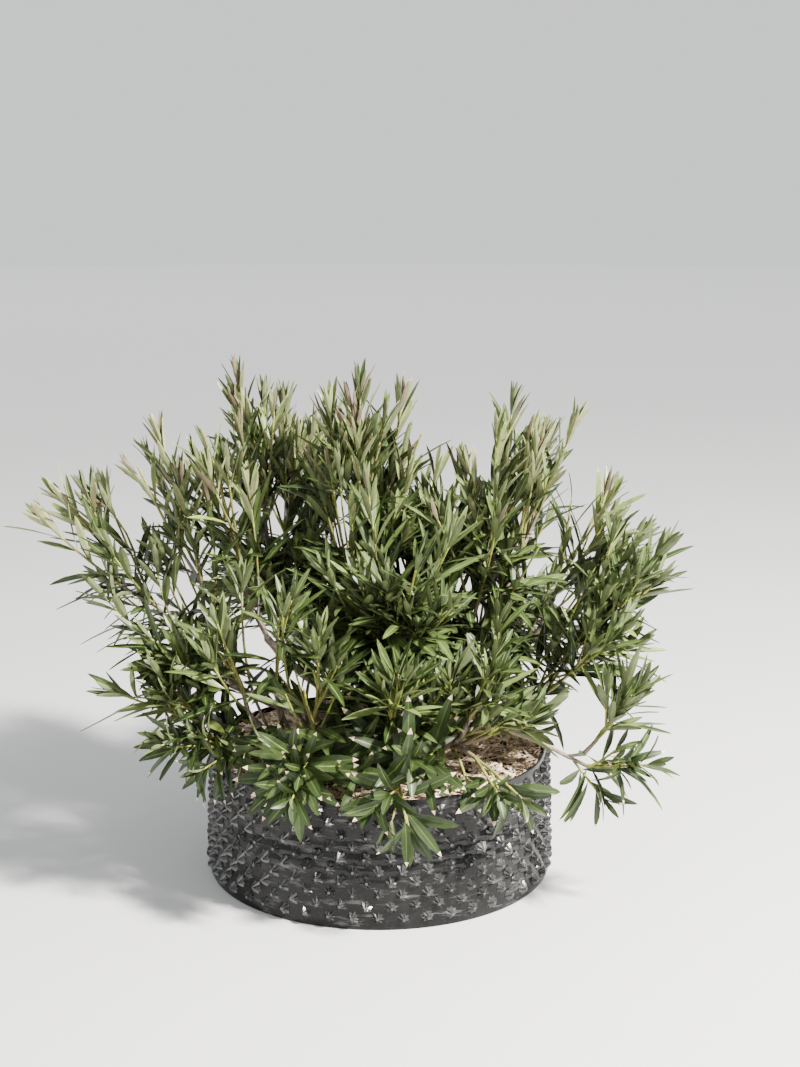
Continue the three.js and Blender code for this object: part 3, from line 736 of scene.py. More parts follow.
def mesh_object(name, points, loops, totals, materials, kinds, crease=None):
    """An object with these faces at the origin, each with the material that kinds gives it."""
    mesh = bpy.data.meshes.new(name)
    mesh.vertices.add(len(points))
    mesh.vertices.foreach_set("co", np.asarray(points, np.float32).ravel())
    mesh.loops.add(len(loops))
    mesh.loops.foreach_set("vertex_index", np.asarray(loops, np.int32))
    mesh.polygons.add(len(totals))
    starts = np.concatenate([[0], np.cumsum(totals)[:-1]])
    mesh.polygons.foreach_set("loop_start", starts.astype(np.int32))
    mesh.polygons.foreach_set("loop_total", np.asarray(totals, np.int32))
    for material in materials:
        mesh.materials.append(material)
    mesh.polygons.foreach_set("material_index", np.asarray(kinds, np.int32))
    mesh.update(calc_edges=True)
    mesh.validate()
    return linked(name, mesh, crease)


def copies(shape, points):
    """The points, loops and face sizes of many copies of one template, each with its own points."""
    count, size = points.shape[:2]
    offsets = (np.arange(count) * size)[:, None]
    return points.reshape(-1, 3), (shape.loops[None] + offsets).ravel(), np.tile(shape.totals, count)


@functools.lru_cache(maxsize=None)
def tube_template(sides, rings):
    """A closed tube 1 in radius, its rings at whole numbers of z. Each face's part is its ring."""
    bm = bmesh.new()
    bmesh.ops.create_cone(bm, cap_ends=True, segments=sides, radius1=1, radius2=1, depth=rings)
    bmesh.ops.translate(bm, verts=bm.verts[:], vec=(0, 0, rings / 2))
    for ring in range(1, rings):
        geometry = bm.verts[:] + bm.edges[:] + bm.faces[:]
        bmesh.ops.bisect_plane(bm, geom=geometry, plane_co=(0, 0, ring), plane_no=(0, 0, 1))
    return Template(bm, lambda face: min(rings - 1, int(face.calc_center_median().z)))


def tube_points(shape, centres, tangents, radii):
    """A tube template bent onto centres, with a radius for each of its points."""
    reference = unit(np.eye(3)[np.argmin(np.abs(tangents.mean(0)))])
    u = reference[None] - tangents * (tangents @ reference)[:, None]
    u /= np.linalg.norm(u, axis=1, keepdims=True)
    v = np.cross(tangents, u)
    ring = np.round(shape.points[:, 2]).astype(int)
    x, y = shape.points[:, 0] * radii, shape.points[:, 1] * radii
    return centres[ring] + u[ring] * x[:, None] + v[ring] * y[:, None]


def joined(parts):
    """Several (points, loops, totals, kinds) as one."""
    points, loops, totals, kinds = zip(*parts)
    offsets = np.cumsum([0] + [len(p) for p in points[:-1]])
    loops = [each + offset for each, offset in zip(loops, offsets)]
    return tuple(np.concatenate(each) for each in (points, loops, totals, kinds))


def spun(profile, steps):
    """A bmesh of (radius, height) points spun round the axis."""
    bm = bmesh.new()
    verts = [bm.verts.new((radius, 0.0, height)) for radius, height in profile]
    edges = [bm.edges.new(pair) for pair in zip(verts, verts[1:])]
    around = {"cent": (0, 0, 0), "axis": (0, 0, 1), "angle": 2 * math.pi}
    bmesh.ops.spin(bm, geom=verts + edges, steps=steps, use_merge=True, **around)
    bmesh.ops.remove_doubles(bm, verts=bm.verts[:], dist=1e-6)
    bmesh.ops.recalc_face_normals(bm, faces=bm.faces[:])
    return bm


def bmesh_object(name, bm, material, crease=35):
    """An object at the origin from a finished bmesh."""
    mesh = bpy.data.meshes.new(name)
    bm.to_mesh(mesh)
    bm.free()
    mesh.materials.append(material)
    return linked(name, mesh, crease)


# ---- Materials -------------------------------------------------------------------------------------


def maths(operation, swapped=False):
    """A method that joins a value and another in a maths node."""

    def method(self, other):
        first, second = (other, self) if swapped else (self, other)
        return self.finish.node("ShaderNodeMath", {"operation": operation}, {0: first, 1: second})

    return method


class Value:
    """A number in a node tree, so that shader maths reads as an expression."""

    __add__, __radd__ = maths("ADD"), maths("ADD", swapped=True)
    __sub__, __rsub__ = maths("SUBTRACT"), maths("SUBTRACT", swapped=True)
    __mul__ = maths("MULTIPLY")

    def __init__(self, finish, socket):
        self.finish = finish
        self.socket = socket

    def clamped(self, low, high):
        """This value spread so that low becomes 0 and high becomes 1."""
        settings = {"interpolation_type": "SMOOTHSTEP"}
        inputs = {"Value": self, "From Min": low, "From Max": high}
        return self.finish.node("ShaderNodeMapRange", settings, inputs)


class Finish:
    """A material's node tree, and the one method that adds a node to it."""

    def __init__(self, name):
        self.material = bpy.data.materials.new(name)
        self.material.use_nodes = True
        self.tree = self.material.node_tree
        self.tree.nodes.clear()

    def node(self, kind, settings=None, inputs=None, output=0):
        made = self.tree.nodes.new(kind)
        for name, value in (settings or {}).items():
            if name == "stops":
                self.set_stops(made.color_ramp, value)
            else:
                setattr(made, name, value)
        for key, value in (inputs or {}).items():
            socket = self.found(made.inputs, key)
            if isinstance(value, Value):
                self.tree.links.new(value.socket, socket)
            else:
                socket.default_value = value
        return Value(self, self.found(made.outputs, output))

    @staticmethod
    def found(sockets, key):
        if isinstance(key, int):
            return sockets[key]
        return next(s for s in sockets if s.enabled and key in (s.name, s.identifier))

    @staticmethod
    def set_stops(ramp, stops):
        while len(ramp.elements) < len(stops):
            ramp.elements.new(1.0)
        for element, (position, colour) in zip(ramp.elements, stops):
            element.position = position
            element.color = colour

    def place(self):
        return self.node("ShaderNodeTexCoord", output="Object")

    def pattern(self, scale, detail=2.0, rough=0.5, stretch=(1, 1, 1)):
        """Cloudy noise over the piece's own place, with so many clouds a metre."""
        at = self.node("ShaderNodeMapping", {}, {"Vector": self.place(), "Scale": stretch})
        inputs = {"Vector": at, "Scale": scale, "Detail": detail, "Roughness": rough}
        return self.node("ShaderNodeTexNoise", {}, inputs, "Fac")

    def mix(self, low, high, share):
        """One colour to another as the share goes from 0 to 1."""
        inputs = {"Factor_Float": share, "A_Color": low, "B_Color": high}
        return self.node("ShaderNodeMix", {"data_type": "RGBA"}, inputs, "Result_Color")

    def bump(self, height, strength, distance):
        inputs = {"Height": height, "Strength": strength, "Distance": distance}
        return self.node("ShaderNodeBump", {}, inputs, "Normal")

    def surface(self, **sockets):
        """The principled shader with these sockets, joined to the output. Returns the material."""
        inputs = {key.replace("_", " "): value for key, value in sockets.items()}
        shader = self.node("ShaderNodeBsdfPrincipled", {}, inputs, "BSDF")
        out = self.tree.nodes.new("ShaderNodeOutputMaterial")
        self.tree.links.new(shader.socket, out.inputs["Surface"])
        return self.material


def shade(colour, by):
    """A colour made darker or lighter by a factor, with its alpha kept."""
    return tuple(min(1.0, c * by) for c in colour[:3]) + (1.0,)


def leaf_finish(name, colour, roughness=0.38, mottling=0.16):
    """A waxy leaf surface: a plain colour with faint cloudy mottling."""
    finish = Finish(name)
    clouds = finish.pattern(42, 3, 0.6).clamped(0.36, 0.64)
    tone = finish.mix(shade(colour, 1 - mottling), shade(colour, 1 + mottling), clouds)
    return finish.surface(
        Base_Color=tone, Roughness=clouds * 0.08 + (roughness - 0.04), Specular_IOR_Level=0.26
    )


def bark_finish(name, colour, dark, pale):
    """Smooth grey-tan bark with darker streaks and pale corky specks."""
    finish = Finish(name)
    streaks = finish.pattern(60, 5, 0.65, (1, 1, 0.35)).clamped(0.38, 0.66)
    specks = finish.pattern(420, 2, 0.5).clamped(0.60, 0.70)
    tone = finish.mix(dark, colour, streaks)
    tone = finish.mix(tone, pale, specks * 0.55)
    height = streaks * 0.6 + specks * 0.4
    return finish.surface(
        Base_Color=tone,
        Roughness=0.88 - specks * 0.1,
        Normal=finish.bump(height, 0.5, 0.0012),
    )


def pot_finish(name, colour, dust_and_sheen, gloss):
    """Black plastic sheet, semi-gloss, with soft dust, fine scuffs and pale streaks round it: the streaks
    are painted highlights, standing in for reflections on the sheet's waves.
    """
    finish = Finish(name)
    clouds = finish.pattern(7, 4, 0.6).clamped(0.46, 0.72)
    grit = finish.pattern(190, 4, 0.7).clamped(0.54, 0.70)
    scuffs = finish.pattern(38, 5, 0.7, (1, 1, 3.4)).clamped(0.56, 0.72)
    # Painted highlight: these pale streaks stand in for the light's reflection on the sheet's waves.
    streaks = finish.pattern(13, 4, 0.65, (1, 1, 5.5)).clamped(0.54, 0.70)
    dust_and_sheen_share = clouds * 0.09 + grit * 0.10 + scuffs * 0.16 + streaks * 0.75
    tone = finish.mix(colour, dust_and_sheen, dust_and_sheen_share)
    grain = finish.pattern(520, 3, 0.6)
    return finish.surface(
        Base_Color=tone,
        Roughness=0.20 + dust_and_sheen_share * 0.40,
        Specular_IOR_Level=gloss,
        Normal=finish.bump(grain * 0.3 + scuffs * 0.7, 0.35, 0.0008),
    )


def shred_finish(name, colour, dark):
    """Torn wood with fine fibres and darker stains."""
    finish = Finish(name)
    fibres = finish.pattern(380, 4, 0.7, (1, 1, 1)).clamped(0.35, 0.68)
    stains = finish.pattern(34, 3, 0.6).clamped(0.40, 0.62)
    tone = finish.mix(finish.mix(dark, colour, stains), shade(colour, 1.18), fibres * 0.6)
    return finish.surface(
        Base_Color=tone, Roughness=0.92 - fibres * 0.1, Normal=finish.bump(fibres, 0.5, 0.0008)
    )


# ---- Sizes and colours a user may change --------------------------------------------------------------


def colour_of(name, description, default):
    return bpy.props.FloatVectorProperty(
        name=name,
        description=description,
        subtype="COLOR",
        size=4,
        min=0.0,
        max=1.0,
        default=(*default, 1.0),
    )


def length_of(name, description, default):
    return bpy.props.FloatProperty(
        name=name, description=description, default=default, min=0.0, unit="LENGTH", precision=4
    )


def number_of(name, description, default, least=0.0):
    return bpy.props.FloatProperty(name=name, description=description, default=default, min=least)


def count_of(name, description, default, least=0):
    return bpy.props.IntProperty(name=name, description=description, default=default, min=least)


class OleanderPotSizes(bpy.types.PropertyGroup):
    """The pot of nubbed plastic sheet."""

    rim_radius: length_of("Rim radius", "Outside radius at the rim", 0.327)
    foot_radius: length_of("Foot radius", "Outside radius at the floor", 0.335)
    height: length_of("Height", "Height of the sheet", POT_BOX[1].z)
    sheet: length_of("Sheet", "Thickness of the sheet at the rim", 0.0045)
    nub: length_of("Nub", "How far a nub stands out", 0.0088)
    nub_radius: length_of("Nub radius", "Radius of a nub where it leaves the sheet", 0.0128)
    columns: count_of("Columns", "Nubs and hollows round the wall", 92, 8)
    rings: count_of("Rings", "Spaces between rings of nubs, from foot to rim", 11, 2)
    colour: colour_of("Colour", "The clean sheet", (0.0040, 0.0041, 0.0043))
    # The nubs' paler colour is partly the sheet drawn thin and partly painted highlight, standing in for
    # glints of light on their flutes.
    stretched_and_highlit: colour_of("Stretched sheet", "Nubs, where the sheet is drawn thin", (0.036, 0.036, 0.035))
    # Besides real dust, this colour paints the pale streaks that stand in for reflections on the sheet.
    dust_and_sheen: colour_of("Dust", "Dust and scuffs on the sheet", (0.095, 0.094, 0.090))


class OleanderMulchSizes(bpy.types.PropertyGroup):
    """Shredded wood on top of the soil."""

    shreds: count_of("Shreds", "How many are strewn", 5400)
    length: length_of("Length", "Usual length of a shred", 0.026)
    width: length_of("Width", "Usual width of a shred", 0.0034)
    # These shred colours are paler than the wood's own: painted sunlight on the mulch that the crown shades.
    cream: colour_of("Cream", "Palest shreds", (0.90, 0.75, 0.58))
    tan: colour_of("Tan", "Most shreds", (0.72, 0.53, 0.35))
    brown: colour_of("Brown", "Weathered shreds", (0.25, 0.150, 0.088))
    bed: colour_of("Bed", "What shows between shreds", (0.055, 0.036, 0.024))


class OleanderBarkSizes(bpy.types.PropertyGroup):
    """The stump, the boughs and the twigs."""

    relief: length_of("Relief", "Depth of the bark's relief", 0.0014)
    # These bark colours are paler than the bark's own: painted sunlight on the limbs that the crown shades.
    bark: colour_of("Bark", "Older bark", (0.47, 0.385, 0.315))
    bark_dark: colour_of("Dark bark", "Streaks in the bark", (0.23, 0.180, 0.140))
    bark_pale: colour_of("Pale bark", "Corky specks", (0.60, 0.52, 0.45))
    green: colour_of("Green shoot", "Two-year twigs", (0.165, 0.175, 0.050))
    young: colour_of("Young shoot", "This year's growth", (0.290, 0.330, 0.060))
    node: colour_of("Node", "Ring under a whorl of leaves", (0.27, 0.115, 0.055))


class OleanderLeafSizes(bpy.types.PropertyGroup):
    """The leaves."""

    length: length_of("Length", "A grown leaf of the crown", 0.113)
    width: length_of("Width", "Its width", 0.0146)
    rim_length: length_of("Rim length", "A grown leaf over the rim", 0.124)
    rim_width: length_of("Rim width", "Its width", 0.0258)
    internode: length_of("Internode", "Between whorls down a stem", 0.034)
    deep: colour_of("Deep green", "Upper side of older leaves", (0.0160, 0.0272, 0.0076))
    green: colour_of("Green", "Upper side of grown leaves", (0.0300, 0.0480, 0.0125))
    olive: colour_of("Olive", "Upper side of paler leaves", (0.052, 0.078, 0.021))
    bright: colour_of("Bright green", "Upper side of leaves over the rim", (0.0190, 0.0320, 0.0075))
    young: colour_of("Young", "Upper side of leaves in a tuft", (0.132, 0.170, 0.052))
    under_grey: colour_of("Grey underside", "Underside of grown leaves", (0.048, 0.064, 0.026))
    under_pale: colour_of("Pale underside", "Underside of paler leaves", (0.108, 0.130, 0.058))
    under_young: colour_of("Young underside", "Underside of leaves in a tuft", (0.235, 0.255, 0.118))
    under_red: colour_of("Reddish underside", "Underside of some young leaves", (0.128, 0.092, 0.064))
    # Painted sunlight: a paler yellow green that stands in for the sun on a few leaves.
    glowing: colour_of("Yellow green", "A few leaves that the sun shines on", (0.190, 0.240, 0.060))
    rib: colour_of("Midrib", "Midrib of grown leaves", (0.135, 0.182, 0.050))
    rib_red: colour_of("Red midrib", "Midrib below young leaves", (0.170, 0.062, 0.036))
    dry: colour_of("Dry tip", "Scorched leaf tips", (0.640, 0.480, 0.330))


class OleanderStageSizes(bpy.types.PropertyGroup):
    """Floor, lights and camera."""

    floor: colour_of("Floor", "The plain floor", (0.60, 0.60, 0.60))
    far_floor: colour_of("Far floor", "The floor far off, near the surround's tone", (0.97, 0.97, 0.97))
    key: number_of("Key light", "Power of the key", 1620.0)
    fill: number_of("Fill", "Power of the fill", 30.0)
    sky: number_of("Sky", "Strength of the surround", 1.02)
    lens: number_of("Lens", "Focal length in mm", 65.0, 10.0)


SIZES = {
    "pot": OleanderPotSizes,
    "mulch": OleanderMulchSizes,
    "bark": OleanderBarkSizes,
    "leaf": OleanderLeafSizes,
    "stage": OleanderStageSizes,
}


class OleanderSizes(bpy.types.PropertyGroup):
    """Everything about the shrub that a user may change."""

    pot: bpy.props.PointerProperty(type=OleanderPotSizes)
    mulch: bpy.props.PointerProperty(type=OleanderMulchSizes)
    bark: bpy.props.PointerProperty(type=OleanderBarkSizes)
    leaf: bpy.props.PointerProperty(type=OleanderLeafSizes)
    stage: bpy.props.PointerProperty(type=OleanderStageSizes)


# ---- Pot -------------------------------------------------------------------------------------------


WALL_WAVE, WALL_DENT, WALL_PIT = 0.0016, 0.0016, 0.0007  # relief of the sheet, from wide to fine
WALL_INSET = 0.0012  # how far the relief as a whole is drawn in


def pot_wall(sizes):
    """The sheet and its floor: a profile spun round the pot's axis, then rippled a little."""
    steps = sizes.rings * 2
    foot, rim, height, sheet = sizes.foot_radius, sizes.rim_radius, sizes.height, sizes.sheet
    lip = sheet / 2
    profile = [(0.0, 0.0), (foot - 0.004, 0.0), (foot - 0.001, 0.001)]
    profile += [
        (lerp(foot, rim, i / steps), lerp(0.004, height - lip, i / steps)) for i in range(steps + 1)
    ]
    for i in range(1, 6):
        angle = math.pi * i / 6
        profile.append((rim - lip + lip * math.cos(angle), height - lip + lip * math.sin(angle)))
    profile += [(rim - sheet, height - lip), (rim - sheet, height - 0.018)]
    profile += [(foot - sheet - 0.002, 0.010), (0.0, 0.010)]
    bm = spun(profile, sizes.columns * 2)
    for v in bm.verts:
        radius = math.hypot(v.co.x, v.co.y)
        share = v.co.z / height
        if radius < foot - 0.03 or share < 0.03:
            continue
        wave = WALL_WAVE * math.cos(2 * math.pi * share * sizes.rings) * math.sin(math.pi * share)
        dents = WALL_DENT * noise.noise(v.co * 14) + WALL_PIT * noise.noise(v.co * 46)
        out = 1 + (wave + dents - WALL_INSET) / radius
        v.co.x *= out
        v.co.y *= out
    return bm


@functools.lru_cache(maxsize=1)
def nub_template():
    """A fluted nub 1 high and 1 in radius, standing on its base, with a small blunt tip."""
    bm = bmesh.new()
    flutes = 8
    bmesh.ops.create_cone(bm, cap_ends=True, segments=2 * flutes, radius1=1.0, radius2=0.22, depth=1.0)
    bmesh.ops.translate(bm, verts=bm.verts[:], vec=(0, 0, 0.5))
    geometry = bm.verts[:] + bm.edges[:] + bm.faces[:]
    bmesh.ops.bisect_plane(bm, geom=geometry, plane_co=(0, 0, 0.5), plane_no=(0, 0, 1))
    for v in bm.verts:
        spoke = round(math.atan2(v.co.y, v.co.x) / math.pi * flutes)
        if v.co.z < 0.01:
            ridge = 1.12 if spoke % 2 else 0.84
        elif v.co.z < 0.6:
            ridge = 1.14 if spoke % 2 else 0.66
            v.co.z += 0.08 if spoke % 2 else -0.08
        else:
            ridge = 1.20 if spoke % 2 else 0.80
        v.co.x *= ridge
        v.co.y *= ridge
    return Template(bm, lambda face: 0)


NUB_SUNK, NUB_STRAY = 0.0026, 0.0016  # how far a nub's foot is sunk in the sheet, and its tip strays


def nubs(sizes, rng):
    """All the nubs, staggered ring by ring round the wall, as arrays."""
    shape = nub_template()
    placed = []
    for row in range(1, sizes.rings):
        share = row / sizes.rings
        z = sizes.height * share
        radius = lerp(sizes.foot_radius, sizes.rim_radius, share)
        for column in range(row % 2, sizes.columns, 2):
            angle = 2 * math.pi * (column + rng.normal(0, 0.03)) / sizes.columns
            out = np.array([math.cos(angle), math.sin(angle), 0.0])
            side = np.array([-math.sin(angle), math.cos(angle), 0.0])
            turn = rng.uniform(0, 2 * math.pi)
            wide = sizes.nub_radius * rng.uniform(0.92, 1.05)
            high = sizes.nub * rng.uniform(0.86, 1.0)
            x, y, h = shape.points.T
            u, w = turned(x, y, turn)
            u = wide * u + NUB_STRAY * h * rng.normal(0, 1)
            w = wide * w + NUB_STRAY * h * rng.normal(0, 1)
            centre = out * (radius - NUB_SUNK) + UP * (z + rng.normal(0, 0.0004))
            height = (high + NUB_SUNK) * h
            placed.append(centre + out * height[:, None] + side * u[:, None] + UP * w[:, None])
    return copies(shape, np.array(placed))


class OLEANDER_OT_pot(bpy.types.Operator):
    """Makes the pot of black sheet with its rings of fluted nubs"""

    bl_idname = "oleander.pot"
    bl_label = "Pot"

    def execute(self, context):
        sizes = context.scene.oleander.pot
        wall = pot_wall(sizes)
        sheet = Template(wall, lambda face: 0)
        points, loops, totals = nubs(sizes, np.random.default_rng(31))
        parts = [
            (sheet.points, sheet.loops, sheet.totals, np.zeros(len(sheet.totals), int)),
            (points, loops, totals, np.ones(len(totals), int)),
        ]
        finishes = [
            pot_finish("pot_sheet", sizes.colour[:], sizes.dust_and_sheen[:], 0.20),
            # The nubs take a paler colour than the sheet: partly stretched plastic, partly painted
            # highlight.
            pot_finish("pot_nub", sizes.stretched_and_highlit[:], sizes.dust_and_sheen[:], 0.75),
        ]
        points, loops, totals, kinds = joined(parts)
        piece = mesh_object("nubbed_pot", points, loops, totals, finishes, kinds, crease=28)
        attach(piece, "root")
        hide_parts("pot")
        return {"FINISHED"}


# ---- Mulch -----------------------------------------------------------------------------------------


def mulch_height(radius):
    """How high the mulch stands at this distance from the middle."""
    share = np.clip((MULCH["radius"] - radius) / (MULCH["radius"] - MULCH["flat"]), 0, 1)
    return lerp(MULCH["edge"], MULCH["middle"], np.sin(share * math.pi / 2))


@functools.lru_cache(maxsize=1)
def shred_template():
    """A thin strip 1 long, 1 wide and 1 thick, cut in four along its length and narrowed to its ends."""
    bm = bmesh.new()
    bmesh.ops.create_cube(bm, size=1.0)
    for x in (-0.26, 0.0, 0.26):
        geometry = bm.verts[:] + bm.edges[:] + bm.faces[:]
        bmesh.ops.bisect_plane(bm, geom=geometry, plane_co=(x, 0, 0), plane_no=(1, 0, 0))
    for v in bm.verts:
        if abs(v.co.x) > 0.4:
            v.co.y *= 0.45
            v.co.z *= 0.5
    return Template(bm, lambda face: 0)


SHRED_BED, SHRED_EDGE = 0.316, 0.3218  # within which shreds are rooted, and within which they end
SHRED_LIFT = (0.0012, 0.0095)  # of a shred's middle over the bed
SHRED_SHARES = (0.52, 0.33, 0.15)  # of cream, tan and brown


def strewn_shreds(shape, sizes, rng):
    """The points of every shred: bent, rolled, tipped and turned, and laid on the bed inside the rim."""
    count = sizes.shreds
    radius = SHRED_BED * np.sqrt(rng.uniform(0.06, 1.0, count))
    bearing = rng.uniform(0, 2 * math.pi, count)
    length = sizes.length * np.exp(rng.normal(0, 0.42, count))
    width = sizes.width * np.exp(rng.normal(0, 0.40, count))
    thickness = width * rng.uniform(0.22, 0.5, count)
    yaw = rng.uniform(0, 2 * math.pi, count)
    pitch = rng.normal(0, 0.16, count)
    roll = rng.normal(0, 0.5, count)
    curve = rng.normal(0, 0.10, count)
    room = np.clip((MULCH["shreds_out"] - radius) * 2, 0.006, None)
    across_rim = np.abs(np.cos(yaw - bearing)) * length > room
    yaw = np.where(across_rim, bearing + math.pi / 2 + rng.normal(0, 0.2, count), yaw)
    x, y, z = shape.points.T
    along = x[None] * length[:, None]
    across = y[None] * width[:, None] + curve[:, None] * length[:, None] * (x[None] ** 2) * 2
    across, up = turned(across, z[None] * thickness[:, None], roll[:, None])
    along, up = turned(along, up, pitch[:, None])
    along, across = turned(along, across, yaw[:, None])
    lift = mulch_height(radius) + rng.uniform(*SHRED_LIFT, count)
    middle = np.stack([radius * np.cos(bearing), radius * np.sin(bearing), lift], axis=-1)
    points = middle[:, None] + np.stack([along, across, up], axis=-1)
    return points[np.hypot(points[..., 0], points[..., 1]).max(1) < SHRED_EDGE]


class OLEANDER_OT_mulch(bpy.types.Operator):
    """Strews shredded wood over the bed inside the rim"""

    bl_idname = "oleander.mulch"
    bl_label = "Mulch"

    def execute(self, context):
        sizes = context.scene.oleander.mulch
        rng = np.random.default_rng(77)
        shape = shred_template()
        points = strewn_shreds(shape, sizes, rng)
        kinds = rng.choice(3, size=len(points), p=SHRED_SHARES)
        finishes = [
            shred_finish("shred_cream", sizes.cream[:], sizes.tan[:]),
            shred_finish("shred_tan", sizes.tan[:], sizes.brown[:]),
            shred_finish("shred_brown", sizes.brown[:], shade(sizes.brown[:], 0.5)),
        ]
        p, l, t = copies(shape, points)
        piece = mesh_object("wood_shreds", p, l, t, finishes, np.repeat(kinds, len(shape.totals)))
        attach(piece, "root")
        bed = shred_finish("mulch_bed", sizes.bed[:], shade(sizes.bed[:], 0.5))
        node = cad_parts["mulch"]
        node.data.materials.clear()
        node.data.materials.append(bed)
        return {"FINISHED"}


# ---- Stump and boughs --------------------------------------------------------------------------------


def stump_mesh(sizes, boughs):
    """The woody foot: a domed profile spun round, swollen towards each bough and rough with bark."""
    height, flare, neck, base = STUMP["height"], STUMP["flare"], STUMP["neck"], STUMP["stands_at"]
    profile = [(0.0, 0.0), (flare * 0.98, 0.0), (flare * 0.93, 0.006), (flare * 0.85, height * 0.12)]
    profile += [(lerp(flare * 0.83, neck, i / 5), height * lerp(0.14, 0.36, i / 5)) for i in range(1, 6)]
    rings = 12
    for i in range(1, rings):
        angle = (i / rings) * (math.pi / 2)
        profile.append((neck * math.cos(angle), height * (0.42 + 0.56 * math.sin(angle))))
    profile.append((0.0, height * 0.985))
    bm = spun([(r, base + z) for r, z in profile], 96)
    bm.normal_update()
    for v in bm.verts:
        if v.co.z < base + 0.001:
            continue
        place = np.array(v.co)
        apart = 1 - max(unit(place - FOOT).dot(bough.chord) for bough in boughs)
        swelling = math.exp(-(apart / 0.03))
        angle = math.atan2(v.co.y, v.co.x)
        furrow = noise.noise(Vector((math.cos(angle) * 5, math.sin(angle) * 5, v.co.z * 12)))
        fine = noise.noise(v.co * 160)
        move = 0.006 * swelling - 0.004 + 0.0045 * furrow + sizes.relief * fine
        v.co += v.normal * move
    return bm


SWAY = 0.004  # how far a bough strays from its line
SCAR = {"apart": (0.022, 0.040), "high": 0.0010, "long": 0.0042}  # the rings of old leaf scars


def bough_part(bough, rng):
    """One bough as arrays: round, tapering, ringed at its old leaf scars and streaked along."""
    sides, spacing = 14, 0.006
    rings = max(8, int(bough.curve.length / spacing))
    shape = tube_template(sides, rings)
    runs = np.linspace(0, bough.curve.length, rings + 1)
    shares = bough.curve.share_at(runs)
    centres, tangents = bough.curve.at(shares), bough.curve.tangent(shares)
    sway = np.array([
        [noise.noise(Vector((run * 16, k * 7.3, bough.curve.length * 50))) for k in range(3)] for run in runs
    ])
    ends = np.sin(np.pi * runs / runs[-1])[:, None]
    centres = centres + sway * SWAY * ends
    scars = np.cumsum(rng.uniform(*SCAR["apart"], 40))
    radius = lerp(LIMB["foot"], LIMB["tip"] * 0.86, runs / runs[-1]) * bough.thickness
    for scar in scars[scars < runs[-1]]:
        ridge = np.exp(-(((runs - scar) / SCAR["long"]) ** 2))
        radius = radius + SCAR["high"] * bough.thickness * ridge
    radius[-1] *= 0.72
    ring = np.round(shape.points[:, 2]).astype(int)
    angle = np.arctan2(shape.points[:, 1], shape.points[:, 0])
    relief = np.array([
        noise.noise(Vector((math.cos(a) * 2.2, math.sin(a) * 2.2, runs[k] * 30 + bough.curve.length * 90)))
        for a, k in zip(angle, ring)
    ])
    points = tube_points(shape, centres, tangents, radius[ring] * (1 + 0.10 * relief))
    return points, shape.loops, shape.totals, np.zeros(len(shape.totals), int)


class OLEANDER_OT_bark(bpy.types.Operator):
    """Makes the stump and the boughs with the relief of their bark"""

    bl_idname = "oleander.bark"
    bl_label = "Stump and boughs"

    def execute(self, context):
        sizes = context.scene.oleander.bark
        boughs = grown_shrub()[0]
        finish = bark_finish("bark", sizes.bark[:], sizes.bark_dark[:], sizes.bark_pale[:])
        stump = bmesh_object("stump_bark", stump_mesh(sizes, boughs), finish, crease=60)
        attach(stump, "root")
        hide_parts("stump")
        rng = np.random.default_rng(5)
        points, loops, totals, kinds = joined([bough_part(bough, rng) for bough in boughs])
        limbs = mesh_object("bough_bark", points, loops, totals, [finish], kinds, crease=60)
        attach(limbs, "root")
        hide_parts(*["bough_" + bough.name for bough in boughs])
        return {"FINISHED"}


# ---- Twigs -----------------------------------------------------------------------------------------


TWIG = {
    "node": 0.0022,  # length of the ring under a whorl
    "swollen": 1.16,  # and how much thicker it is
    "past_end": 0.002,  # how far a twig runs past the end of its line
    "young": 0.075,  # how far down from its tip it is young
    "green": 0.21,  # and green, below that
    "stem_green": 0.05,  # how far down a stem is green
    # The boughs' bark colours carry painted sunlight; this brings the twigs' bark back down from them.
    "shade": 0.6,  # the bark of twigs against that of boughs
}
LeafSizes = namedtuple("LeafSizes", "internode length width rim_length rim_width")


@functools.lru_cache(maxsize=1)
def dressed_shoots(sizes):
    """Every shoot with its whorls, and the leaves on each: (shoots, leaves as rows)."""
    shoots = grown_shrub()[2]
    rows = []
    for number, shoot in enumerate(shoots):
        rng = np.random.default_rng(9000 + number)
        shoot.whorls = whorl_distances(shoot, sizes, rng)
        spray = rng.uniform()
        for leaf in leaves_of(shoot, sizes, rng):
            leaf["shoot"] = number
            leaf["spray"] = spray
            leaf["chance"] = rng.uniform()
            rows.append(leaf)
    return shoots, rows


def dressed(context):
    leaf = context.scene.oleander.leaf
    return dressed_shoots(LeafSizes(*(getattr(leaf, field) for field in LeafSizes._fields)))


